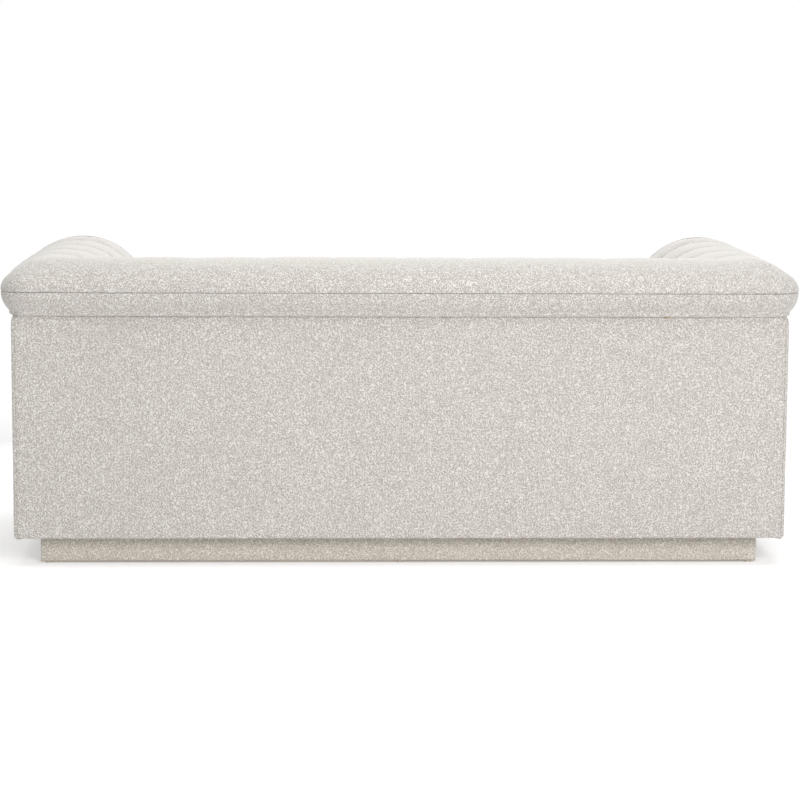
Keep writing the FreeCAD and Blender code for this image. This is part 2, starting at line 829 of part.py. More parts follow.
def seat_springs(arch):
    """Sinuous springs: a wave of wire laid along an arch from rail to rail."""
    half = size("spring_wire") / 2
    route = spring_route(arch)
    edge = offset_edge(route, half) + offset_edge(route, -half)[::-1]
    face = polygon(edge)
    face.translate(Vector(0, 0, size("rail_top")))
    tall = face.extrude(Vector(0, 0, size("deck_bottom") - size("rail_top")))
    spring = single(tall.common(arch.strip()))
    springs = [spring.translated(Vector(x, 0, 0)) for x in spring_stations()]
    formed("seat_springs", Part.makeCompound(springs))


def spring_clips(arch):
    """Folded clips on the rails that hold the end rungs of the springs."""
    metal = size("clip_metal")
    half = size("clip_width") / 2
    web = size("spring_wire") / 2 + size("clip_play")
    inner_top = arch.low + size("spring_wire") + size("clip_play")
    low = size("rail_top")
    clips = []
    for rung, out in ((arch.start, -1), (arch.end, 1)):
        back = rung + out * (web + metal)
        front = back - out * size("clip_depth")
        web_y = rung + out * web
        profile = [
            (back, low),
            (front, low),
            (front, low + metal),
            (web_y, low + metal),
            (web_y, inner_top),
            (front, inner_top),
            (front, inner_top + metal),
            (back, inner_top + metal),
        ]
        for x in spring_stations():
            points = [Vector(x - half, y, z) for y, z in profile]
            face = polygon(points)
            clips.append(face.extrude(Vector(2 * half, 0, 0)))
    formed("spring_clips", Part.makeCompound(clips))


def spring_ties(arch):
    """Wires under the springs from side rail to side rail, turned down at their ends."""
    thick = size("tie_wire")
    side = size("seat_side_x") + size("rail") / 2
    rail_level = size("rail_top") + size("clip_play")
    ties = []
    for offset in (-size("tie_reach"), size("tie_reach")):
        y = arch.middle + offset
        top = arch.level(y + math.copysign(thick / 2, offset)) - size("clip_play")
        drop = top - thick - rail_level
        turn_in = side - 2 * drop
        lower = [(-side, rail_level), (-turn_in, top - thick), (turn_in, top - thick), (side, rail_level)]
        upper = [(side, rail_level + thick), (turn_in, top), (-turn_in, top), (-side, rail_level + thick)]
        points = [Vector(x, y - thick / 2, z) for x, z in lower + upper]
        face = polygon(points)
        ties.append(face.extrude(Vector(0, thick, 0)))
    formed("spring_ties", Part.makeCompound(ties))


def back_frame():
    """Ribs, rails, bent panel and webbing of the back."""
    place = section_place(1, "panel_y")
    ribs = []
    for number in range(count("back_rib_count")):
        name = f"back_rib_{number + 1}"
        outline = rib_outline(back_roll, size("deck_bottom"))
        rib = sketched_board(name, "YZ_Plane", outline, place, "ply")
        cut_through(rib, "YZ_Plane", f"{name}_windows", windows(), place)
        cut_through(rib, "YZ_Plane", f"{name}_notches", rail_notches() + [tack_notch()], place)
        rib.setExpression("Placement.Base.x", bound(f"back_rib_pitch * {number} - outer_rib_x"))
        ribs.append(rib)
    holes = document.addObject("Part::Feature", "rib_holes")
    holes.Shape = bolt_holes(size("frame_z") - 1, bolt_tip())
    bored_ribs = []
    for rib in ribs:
        if rib in (ribs[0], ribs[-1]):
            bored = document.addObject("Part::Cut", f"{rib.Name}_bored")
            bored.Base = rib
            bored.Tool = holes
            rib = bored
        bored_ribs.append(rib)
    bundle("back_ribs", bored_ribs)

    half = "top_rail_width / 2"
    crest = "panel_y - crest_inset"
    end = f"panel_x - crest_inset - {half}"
    y = (f"{crest} - {half}", f"{crest} + {half}")
    board("back_top_rail", (f"-({end})", end), y, ("top_rail_z - ply", "top_rail_z"))
    nose = "panel_y - nose_in"
    end = "panel_x - nose_in"
    z = ("wide_z - nose_rail_height", "wide_z")
    board("back_nose_rail", (f"-({end})", end), (f"{nose} - ply", nose), z)
    z = ("frame_z", "frame_z + bottom_rail_height")
    board("back_bottom_rail", ("-board_x", "board_x"), ("board_y - ply", "board_y"), z)
    end = "outer_rib_x + ply / 2"
    y = ("rib_front_y + tack_rail_set", "rib_front_y + tack_rail_set + ply")
    z = ("deck_bottom", "deck_bottom + tack_rail_height")
    board("back_tack_rail", (f"-({end})", end), y, z)

    posts = []
    for name, sign in sides():
        x = span(sign, "board_x - ply - post", "board_x - ply")
        y = ("board_y - ply - post", "board_y - ply")
        posts.append(block(f"corner_post_{name}", x, y, ("frame_z", "wide_z - nose_rail_height")))
    bundle("rear_corner_posts", posts)

    reach = size("overall_width") / 2
    outer = back_prism(back_roll.head(size("pad")), -reach, reach)
    inner = back_prism(back_roll.head(size("build_up") - size("skin_play")), -reach, reach)
    skin = outer.cut(inner)
    for _, sign in sides():
        skin = skin.cut(arm_side(sign))
    formed("back_roll_skin", single(skin))

    straps = []
    rake = size("back_rake")
    reach = size("outer_rib_x") + size("ply") / 2
    for number in range(count("webbing_count")):
        z = size("webbing_low") + number * size("webbing_pitch")
        foot = back_roll.foot(size("build_up"), z)
        strap = Part.makeBox(2 * reach, size("webbing_thickness"), size("webbing_width"))
        strap.translate(Vector(-reach, -size("webbing_thickness"), -size("webbing_width") / 2))
        strap.rotate(Vector(), Vector(1, 0, 0), -rake)
        strap.translate(Vector(0, size("panel_y") + foot[0], z))
        straps.append(strap)
    formed("back_webbing", Part.makeCompound(straps))


def tack_notch():
    """Notch for the tack rail in the front edge of a back rib."""
    front = size("rib_front_y") - size("panel_y") + size("tack_rail_set")
    low = size("deck_bottom")
    return rectangle(front - 2 * size("ply"), front + size("ply"), low, low + size("tack_rail_height"))


def arm_frame(name, sign):
    """Boards, rails and bent panel of one arm."""
    place = section_place(sign, "panel_x")
    stations = [
        ("front_board", "arm_start_y + ply / 2"),
        ("middle_rib", "middle_rib_station"),
        ("rear_rib", "panel_y - crest_inset - top_rail_width / 2 - ply / 2"),
    ]
    for part, station in stations:
        label = f"{name}_arm_{part}"
        outline = rib_outline(arm_roll, size("deck_bottom"))
        rib = sketched_board(label, "XZ_Plane", outline, place, "ply")
        if part != "front_board":
            cut_through(rib, "XZ_Plane", f"{label}_windows", windows(), place)
        cut_through(rib, "XZ_Plane", f"{label}_notches", rail_notches(), place)
        rib.setExpression("Placement.Base.y", bound(station))
        keep(rib, label)

    half = "top_rail_width / 2"
    crest = "panel_x - crest_inset"
    x = span(sign, f"{crest} - {half}", f"{crest} + {half}")
    y = ("arm_start_y", f"panel_y - crest_inset + {half}")
    board(f"{name}_arm_top_rail", x, y, ("top_rail_z - ply", "top_rail_z"))
    x = span(sign, "panel_x - nose_in - ply", "panel_x - nose_in")
    y = ("arm_start_y", "panel_y - nose_in - ply")
    board(f"{name}_arm_nose_rail", x, y, ("wide_z - nose_rail_height", "wide_z"))
    x = span(sign, "board_x - ply", "board_x")
    y = ("arm_start_y", "board_y - ply")
    board(f"{name}_arm_bottom_rail", x, y, ("frame_z", "frame_z + bottom_rail_height"))

    start = size("arm_start_y")
    end = size("overall_depth") / 2
    low = size("deck_bottom")
    outer = arm_prism(arm_roll.whole(size("pad"), low), sign, start, end)
    inner = arm_prism(arm_roll.whole(size("build_up") - size("skin_play"), low), sign, start, end)
    formed(f"{name}_arm_skin", single(outer.cut(inner).common(arm_side(sign))))


def back_pads():
    """Channels of the inside back, the plain roll behind its crest and its lower band."""
    count_across = count("back_channels")
    pitch = 2 * size("arm_inside_x") / count_across
    depth = size("pad") - size("soft_gap")
    core = back_prism(back_roll.front_half(depth, size("deck_bottom")), -pitch, pitch)
    piece = single(channel(back_roll, back_place, False, -pitch / 2, pitch / 2).cut(core))
    middle = (count_across - 1) / 2
    channels = [piece.translated(Vector((step - middle) * pitch, 0, 0)) for step in range(count_across)]
    formed("back_channel_pads", Part.makeCompound(channels))

    reach = size("overall_width") / 2 + 1
    inner = back_prism(back_roll.rear_half(depth), -reach, reach)
    roll = back_run(back_roll.rear_half(0), back_roll.rear_edge(-size("corner_round")))
    formed("back_roll_pad", single(roll.cut(inner)))
    behind = back_prism(behind_band(), -reach, reach)
    band = back_run(back_roll.band(-size("nose_in")), back_roll.band(-size("corner_round")))
    formed("back_lower_band", single(band.cut(behind)))


def behind_band():
    """Outline of the room behind a lower band, out to the corner's axis."""
    return rectangle(-size("crest_inset"), -size("nose_in"), size("seam_z"), size("wide_z"))


def arm_pads(name, sign):
    """Channels of one arm and its lower band."""
    front = size("arm_start_y")
    first = size("panel_y") - size("corner_reach")
    width = size("arm_channel_width")
    seams = [first - step * width for step in range(count("arm_channels"))] + [front]
    depth = size("pad") - size("soft_gap")
    core = arm_prism(arm_roll.whole(depth, size("deck_bottom")), sign, front - 1, first + 1)
    space = arm_side(sign)
    channels = []
    for end, start in zip(seams, seams[1:]):
        filled = channel(arm_roll, partial(arm_place, sign), True, start, end)
        channels.append(single(filled.cut(core).common(space)))
    formed(f"{name}_arm_channel_pads", Part.makeCompound(channels))

    rear = size("overall_depth") / 2 + 1
    band = arm_run(arm_roll.band(-size("nose_in")), arm_roll.band(-size("corner_round")), sign, front)
    formed(f"{name}_lower_band", single(band.cut(arm_prism(behind_band(), sign, front, rear))))


def corner_pad(sign):
    """Padding of one rear corner: the end of the arm's roll and the round inside the back."""
    depth = size("pad") - size("soft_gap")
    first = size("panel_y") - size("corner_reach")
    rear = size("overall_depth") / 2 + 1
    arm = arm_run(arm_roll.head(0), arm_roll.rear_edge(-size("corner_round")), sign, first)
    arm = arm.cut(arm_prism(arm_roll.head(depth), sign, first, rear))
    inside = sign * size("arm_inside_x")
    end = sign * (size("overall_width") / 2 + 1)
    back = back_prism(arm_roll.front_head(0), inside, end)
    back = back.cut(back_prism(arm_roll.front_head(depth), inside, end)).cut(arm_side(sign))
    return single(arm.fuse(back).removeSplitter())


def outside_covers():
    """Outside covers folded under the box up to the plinth, arm facings and front border."""
    z = ("box_bottom", "seam_z")
    fold = ("box_bottom", "frame_z")
    hem_x = "plinth_x + plinth_cloth + hem_gap"
    hem_back = "plinth_back_y + plinth_cloth + hem_gap"
    hem_front = "plinth_front_y - plinth_cloth - hem_gap"
    panel = block("outside_back_panel", ("-board_x", "board_x"), ("board_y", "panel_y"), z)
    hem = block("outside_back_hem", (f"-({hem_x})", hem_x), (hem_back, "board_y"), fold)
    joined("outside_back_cover", panel, hem)
    for name, sign in sides():
        x = span(sign, "board_x", "panel_x")
        panel = block(f"outside_{name}_panel", x, ("arm_start_y", "panel_y"), z)
        x = span(sign, hem_x, "board_x")
        hem = block(f"outside_{name}_hem", x, ("arm_start_y", "board_y"), fold)
        joined(f"outside_{name}_cover", panel, hem)
        place = section_place(sign, "panel_x")
        front = sketched_board(f"{name}_facing_front", "XZ_Plane", facing_outline(), place, "facing")
        front.setExpression("Placement.Base.y", bound("front_y + facing / 2"))
        hem = block(f"{name}_facing_hem", span(sign, "arm_inside_x", hem_x), ("arm_start_y", hem_front), fold)
        joined(f"{name}_arm_facing", front, hem)
    x = ("-arm_inside_x", "arm_inside_x")
    panel = block("front_border_panel", x, ("border_y", "rail_front_y"), ("box_bottom", "deck_top"))
    hem = block("front_border_hem", x, ("rail_front_y", hem_front), fold)
    joined("front_border_cover", panel, hem)


def joined(label, first, second):
    """Two solids of one piece fused under one label."""
    item = document.addObject("Part::Fuse", label)
    item.Base = first
    item.Tool = second
    item.Refine = True
    return keep(item, label)


def facing_outline():
    """Outline of an arm front: outside panel, lower band, roll and inside face."""
    low = size("box_bottom")
    band = arm_roll.band(-size("nose_in"))
    roll = arm_roll.outside(0)[1:] + arm_roll.inside_round(0)
    return [(0, low), band[0], band[1]] + roll + [arm_roll.foot(0, low)]


def deck():
    """Deck pad on the springs with the roll along its front edge."""
    reach = "arm_inside_x - cushion_play"
    back = "inside_y - soft_gap"
    flat = block("deck_flat", (f"-({reach})", reach), ("rail_front_y", back), ("deck_bottom", "deck_top"))
    y = ("rail_front_y", "rail_front_y + edge_roll_depth")
    roll = block("deck_edge", (f"-({reach})", reach), y, ("deck_bottom - edge_roll_drop", "deck_bottom"))
    joined("deck_pad", flat, roll)


def rounded_plan(limits, inset, radius, level):
    """A level rectangle inside given limits, its corners rounded by short chords."""
    low_x, high_x, low_y, high_y = limits
    room = inset + radius
    centres = [
        (high_x - room, high_y - room),
        (low_x + room, high_y - room),
        (low_x + room, low_y + room),
        (high_x - room, low_y + room),
    ]
    points = []
    for quarter, (x, y) in enumerate(centres):
        for step in range(CORNER_CHORDS + 1):
            turn = math.radians(90 * (quarter + step / CORNER_CHORDS))
            points.append(Vector(x + radius * math.cos(turn), y + radius * math.sin(turn), level))
    return points


def cushion_profile(low):
    """Levels of a cushion cover and how far each lies inside its widest line."""
    height = size("cushion_height")
    draw = size("cushion_draw")
    levels = [(low, size("cushion_under"))]
    for step in range(-SWELL_STEPS, SWELL_STEPS + 1):
        turn = math.radians(90 * step / SWELL_STEPS)
        swell = (height / 2 - draw) * math.sin(turn)
        levels.append((low + height / 2 + swell, draw * (1 - math.cos(turn))))
    seam = low + height - draw
    reach = size("cushion_crown_reach")
    for step in range(1, CUSHION_CROWN_STEPS + 1):
        turn = math.radians(90 * step / CUSHION_CROWN_STEPS)
        rise = (size("cushion_crown") + draw) * math.sin(turn)
        levels.append((seam + rise, reach - (reach - draw) * math.cos(turn)))
    return levels


def cushion(name, sign):
    """A loose seat cushion: crowned cover with drawn-in seams, and its foam core."""
    play = size("cushion_play")
    low_x, high_x = sorted((sign * play, sign * (size("arm_inside_x") - play)))
    limits = (low_x, high_x, size("front_y") + size("cushion_front"), size("inside_y") - play)
    low = size("deck_top") + size("soft_gap")
    radius = size("cushion_corner")
    body = faceted([rounded_plan(limits, inset, radius, level) for level, inset in cushion_profile(low)])
    core = core_block(limits, low, 0)
    formed(f"{name}_cushion_cover", body.cut(core_block(limits, low, size("core_play"))))
    formed(f"{name}_cushion_core", core)


def core_block(limits, low, play):
    """A foam block with round upright corners inside a cushion, or the room round it."""
    inset = size("core_inset") - play
    base = rounded_plan(limits, inset, size("core_radius") + play, low + inset)
    return polygon(base).extrude(Vector(0, 0, size("cushion_height") - 2 * inset))


def check(label, item):
    """Refuse a sub-part that failed or is not a sound closed shape."""
    if "Invalid" in item.State or "Error" in item.State:
        raise RuntimeError(f"{label} failed: {item.State}")
    shape = item.Shape
    if shape.isNull() or not shape.isValid() or not shape.Solids:
        raise RuntimeError(f"{label} has no sound shape")
    if min(solid.Volume for solid in shape.Solids) <= 0:
        raise RuntimeError(f"{label} has an empty solid")


def main():
    """Build every sub-part, check it and write it."""
    plinth()
    joint_blocks()
    plinth_bolts()
    seat_frame()
    arch = SpringArch()
    seat_springs(arch)
    spring_clips(arch)
    spring_ties(arch)
    back_frame()
    back_pads()
    formed("rear_corner_pads", Part.makeCompound([corner_pad(sign) for _, sign in sides()]))
    for name, sign in sides():
        arm_frame(name, sign)
        arm_pads(name, sign)
        cushion(name, sign)
    outside_covers()
    deck()
    document.recompute()
    for item in document.Objects:
        if "Invalid" in item.State or "Error" in item.State:
            raise RuntimeError(f"{item.Label} failed: {item.State}")
    os.makedirs("parts", exist_ok=True)
    for label, item in nodes.items():
        check(label, item)
        item.Shape.exportStep(f"parts/{label}.step")
        print(f"{label}: {len(item.Shape.Solids)} solids, {item.Shape.Volume / 1000:.1f} cm3")
    print(f"{len(nodes)} sub-parts")


main()
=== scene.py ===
"""Channelled sofa seen from behind: its upholstery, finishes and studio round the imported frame."""

import logging
import math
from dataclasses import dataclass
from enum import Enum
from typing import Callable, Iterable, Sequence

import bmesh
import bpy
from mathutils import Matrix, Vector


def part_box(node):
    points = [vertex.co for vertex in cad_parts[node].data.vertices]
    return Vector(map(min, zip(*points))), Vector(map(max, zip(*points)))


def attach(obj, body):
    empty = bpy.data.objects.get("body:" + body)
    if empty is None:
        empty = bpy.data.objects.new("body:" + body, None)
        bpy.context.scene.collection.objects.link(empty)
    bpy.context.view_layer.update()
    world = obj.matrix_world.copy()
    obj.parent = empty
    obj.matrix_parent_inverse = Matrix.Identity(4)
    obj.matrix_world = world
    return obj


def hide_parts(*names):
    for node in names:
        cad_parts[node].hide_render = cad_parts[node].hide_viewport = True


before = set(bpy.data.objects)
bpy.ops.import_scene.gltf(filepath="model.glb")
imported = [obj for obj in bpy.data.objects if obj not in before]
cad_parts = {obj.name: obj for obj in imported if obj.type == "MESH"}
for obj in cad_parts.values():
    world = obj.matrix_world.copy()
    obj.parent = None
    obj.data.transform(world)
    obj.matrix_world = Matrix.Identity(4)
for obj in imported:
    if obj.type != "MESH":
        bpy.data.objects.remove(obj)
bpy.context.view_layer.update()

logging.basicConfig(level=logging.INFO, format="%(message)s")
LOG = logging.getLogger("sofa")

Piece = bpy.types.Object
Socket = bpy.types.NodeSocket
Colour = tuple[int, int, int]
Point = tuple[float, float, float]
Place = Callable[[int, int], Sequence[float]]

QUARTER = math.pi / 2
BACK_RAKE = math.radians(7)
FORWARD = (0.0, -1.0, 0.0)
BACKWARD = (0.0, 1.0, 0.0)
UP = (0.0, 0.0, 1.0)
DOWN = (0.0, 0.0, -1.0)
TINY = 1e-9
WELD = 0.0004
SEAM_REACH = 0.0015
WANDER = 0.0008
HALVINGS = 40


class Side(Enum):
    """The two arms; left is -X as seen from the front."""

    LEFT = -1
    RIGHT = 1

    @property
    def word(self) -> str:
        """The side's name as it stands in the node names."""
        return self.name.lower()


class Body(Enum):
    """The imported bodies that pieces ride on."""

    SOFA = "sofa"
    LEFT_CUSHION = "left_cushion"
    RIGHT_CUSHION = "right_cushion"


# ---- meshes


def select_none() -> None:
    """Deselect every object and leave edit mode."""
    if bpy.context.object and bpy.context.object.mode != "OBJECT":
        bpy.ops.object.mode_set(mode="OBJECT")
    bpy.ops.object.select_all(action="DESELECT")


def make_active(piece: Piece) -> None:
    """Select one object alone and make it the active one."""
    select_none()
    piece.select_set(True)
    bpy.context.view_layer.objects.active = piece


def apply_modifiers(piece: Piece) -> None:
    """Apply all modifiers of a piece in order."""
    make_active(piece)
    for modifier in list(piece.modifiers):
        bpy.ops.object.modifier_apply(modifier=modifier.name)


def laid_grid(name: str, columns: int, rows: int, place: Place) -> Piece:
    """Add a flat grid and lay each of its points in place.

    Args:
        name: the piece's name.
        columns: squares across the grid.
        rows: squares up the grid.
        place: the place of a point from its column and row.

    Returns:
        The new piece, its faces turned to the product of column and row directions.
    """
    select_none()
    bpy.ops.mesh.primitive_grid_add(x_subdivisions=columns, y_subdivisions=rows, size=1.0)
    piece = bpy.context.object
    piece.name = name
    piece.data.name = name
    for vertex in piece.data.vertices:
        column = round((vertex.co.x + 0.5) * columns)
        row = round((vertex.co.y + 0.5) * rows)
        vertex.co = place(column, row)
    piece.data.update()
    return piece


def box_piece(name: str, low: Sequence[float], high: Sequence[float]) -> Piece:
    """Add a cube at its size and place, with its place in its mesh.

    Args:
        name: the piece's name.
        low: its lowest corner.
        high: its highest corner.

    Returns:
        The new piece.
    """
    select_none()
    centre = [(a + b) / 2 for a, b in zip(low, high)]
    bpy.ops.mesh.primitive_cube_add(size=1.0, location=centre)
    piece = bpy.context.object
    piece.name = name
    piece.data.name = name
    piece.scale = [b - a for a, b in zip(low, high)]
    bpy.ops.object.transform_apply(location=True, rotation=True, scale=True)
    return piece


def edit_select(piece: Piece, edges: Callable[[Vector, Vector], bool]) -> None:
    """Enter edit mode with the edges that a rule picks from their two ends.

    Args:
        piece: the piece to edit.
        edges: the rule.
    """
    make_active(piece)
    bpy.ops.object.mode_set(mode="EDIT")
    bpy.ops.mesh.select_mode(type="EDGE")
    bpy.ops.mesh.select_all(action="DESELECT")
    mesh = bmesh.from_edit_mesh(piece.data)
    for edge in mesh.edges:
        if edges(edge.verts[0].co, edge.verts[1].co):
            edge.select_set(True)
    bmesh.update_edit_mesh(piece.data)


def edit_whole(piece: Piece, *tools: Callable[[], object]) -> None:
    """Run tools in edit mode on the whole of a piece.

    Args:
        piece: the piece to edit.
        *tools: the tools, in order.
    """
    make_active(piece)
    bpy.ops.object.mode_set(mode="EDIT")
    bpy.ops.mesh.select_all(action="SELECT")
    for tool in tools:
        tool()
    bpy.ops.object.mode_set(mode="OBJECT")


def face_outward() -> None:
    """Turn the selected faces to the outside of their mesh."""
    bpy.ops.mesh.normals_make_consistent(inside=False)


def smoothed(piece: Piece, levels: int = 1) -> None:
    """Subdivide a piece, apply it, and shade it smooth.

    Args:
        piece: the piece.
        levels: how often it is subdivided.
    """
    if levels:
        modifier = piece.modifiers.new("round", "SUBSURF")
        modifier.levels = levels
        modifier.render_levels = levels
        modifier.boundary_smooth = "PRESERVE_CORNERS"
    apply_modifiers(piece)
    make_active(piece)
    bpy.ops.object.shade_smooth()


def ease(value: float, start: float, end: float) -> float:
    """A smooth step from 0 at start to 1 at end."""
    share = min(max((value - start) / (end - start), 0.0), 1.0)
    return share * share * (3 - 2 * share)


def drift(x: float, y: float, z: float, seed: float = 0.0) -> float:
    """A slow wander from -1 to 1 over a few hundred millimetres."""
    first = math.sin(9.1 * x + 5.3 * z + 1.7 + seed) * math.sin(7.7 * y - 4.9 * z + 0.6 + 2 * seed)
    second = math.sin(21.0 * x - 13.0 * y + 17.0 * z + 3 * seed)
    return 0.7 * first + 0.3 * second


@dataclass(frozen=True)
class Cloth:
    """How far and how tightly a padded piece swells in the cloth simulation."""

    pressure: float = 4.0
    spare: float = 0.02
    cap: float = 0.006
    stiffness: float = 15.0
    bending: float = 0.5
    frames: int = 20

    def swell(
        self, piece: Piece, sewn: Iterable[int], kept: Callable[[Vector], float]
    ) -> None:
        """Run the simulation on a piece and keep its result.

        Args:
            piece: the piece, a little smaller than it ends.
            sewn: numbers of the points that the seams hold.
            kept: share of the movement that stays at a place.
        """
        before = [vertex.co.copy() for vertex in piece.data.vertices]
        group = piece.vertex_groups.new(name="sewn")
        group.add(list(sewn), 1.0, "REPLACE")
        modifier = piece.modifiers.new("cloth", "CLOTH")
        settings = modifier.settings
        settings.quality = 5
        settings.tension_stiffness = self.stiffness
        settings.compression_stiffness = self.stiffness
        settings.shear_stiffness = self.stiffness / 3
        settings.bending_stiffness = self.bending
        settings.vertex_group_mass = group.name
        settings.shrink_min = -self.spare
        settings.use_pressure = True
        settings.uniform_pressure_force = self.pressure
        settings.effector_weights.gravity = 0.0
        modifier.point_cache.frame_start = 1
        modifier.point_cache.frame_end = self.frames
        scene = bpy.context.scene
        for number in range(1, self.frames + 1):
            scene.frame_set(number)
        make_active(piece)
        bpy.ops.object.modifier_apply(modifier=modifier.name)
        scene.frame_set(1)
        for vertex, start in zip(piece.data.vertices, before):
            move = vertex.co - start
            share = min(1.0, self.cap / max(move.length, TINY))
            vertex.co = start + move * share * kept(start)
        piece.vertex_groups.clear()


# ---- section


@dataclass(frozen=True)
class Section:
    """Sizes of the sofa's section and plan, in metres, shared by all of its covers."""

    panel_x: float = 0.997
    panel_y: float = 0.452
    front_y: float = -0.485
    arm_start_y: float = -0.481
    crest_z: float = 0.795
    wide_z: float = 0.714
    seam_z: float = 0.653
    box_bottom: float = 0.075
    overhang: float = 0.033
    nose_radius: float = 0.060
    crest_inset: float = 0.104
    roll_radius: float = 0.190
    deck_z: float = 0.302
    inside_x: float = 0.703
    corner_round: float = 0.045
    channel_depth: float = 0.014
    arm_seams: tuple[float, ...] = (-0.350, -0.170, 0.010, 0.190)
    back_channels: int = 8


class RollLine:
    """Section line of the rolled edge, measured from its widest line up and inward."""

    def __init__(self, section: Section, rake: float) -> None:
        """Work out the arcs of the line.

        Args:
            section: the sofa's sizes.
            rake: lean of the inside face, in radians.
        """
        self.rake = rake
        crest = -section.crest_inset
        nose = (section.overhang - section.nose_radius, section.wide_z)
        reach = nose[0] - crest
        fall = section.wide_z - section.crest_z
        crown = (reach**2 + fall**2 - section.nose_radius**2) / (-2 * (fall + section.nose_radius))
        crown_centre = (crest, section.crest_z - crown)
        turn = math.atan2(nose[1] - crown_centre[1], reach)
        inner_centre = (crest, section.crest_z - section.roll_radius)
        self.arcs = [
            (nose, section.nose_radius, 0.0, turn),
            (crown_centre, crown, turn, QUARTER),
            (inner_centre, section.roll_radius, QUARTER, 2 * QUARTER - rake),
        ]
        lengths = [radius * (end - start) for _, radius, start, end in self.arcs]
        self.crest = lengths[0] + lengths[1]
        self.round_end = sum(lengths)
        foot = self.at(self.round_end)
        self.length = self.round_end + (foot[1] - section.deck_z) / math.cos(rake)

    def find(self, low: float, high: float, part: int, value: float) -> float:
        """Length at which a falling part of the line reaches a value.

        Args:
            low, high: lengths between which it does.
            part: 0 for the offset, 1 for the height.
            value: the value.

        Returns:
            The length from the widest line.
        """
        for _ in range(HALVINGS):
            middle = (low + high) / 2
            low, high = (middle, high) if self.at(middle)[part] > value else (low, middle)
        return low

    def at(self, distance: float) -> tuple[float, float, float, float]:
        """The line at a distance from the widest line.

        Args:
            distance: length along the line.

        Returns:
            Offset from the outside panel, height, and the outward normal's two parts.
        """
        for centre, radius, start, end in self.arcs:
            length = radius * (end - start)
            if distance <= length + TINY:
                angle = start + distance / radius
                across, up = math.cos(angle), math.sin(angle)
                return centre[0] + radius * across, centre[1] + radius * up, across, up
            distance -= length
        centre, radius, _, angle = self.arcs[-1]
        across, up = math.cos(angle), math.sin(angle)
        offset = centre[0] + radius * across - distance * math.sin(self.rake)
        return offset, centre[1] + radius * up - distance * math.cos(self.rake), across, up


def valley(distance: float, half: float, depth: float) -> float:
    """Depth of a channel beside a seam, on an elliptical crown."""
    share = min(abs(distance) / half, 1.0)
    return depth * (1 - math.sqrt(max(1 - (1 - share) ** 2, 0.0)))


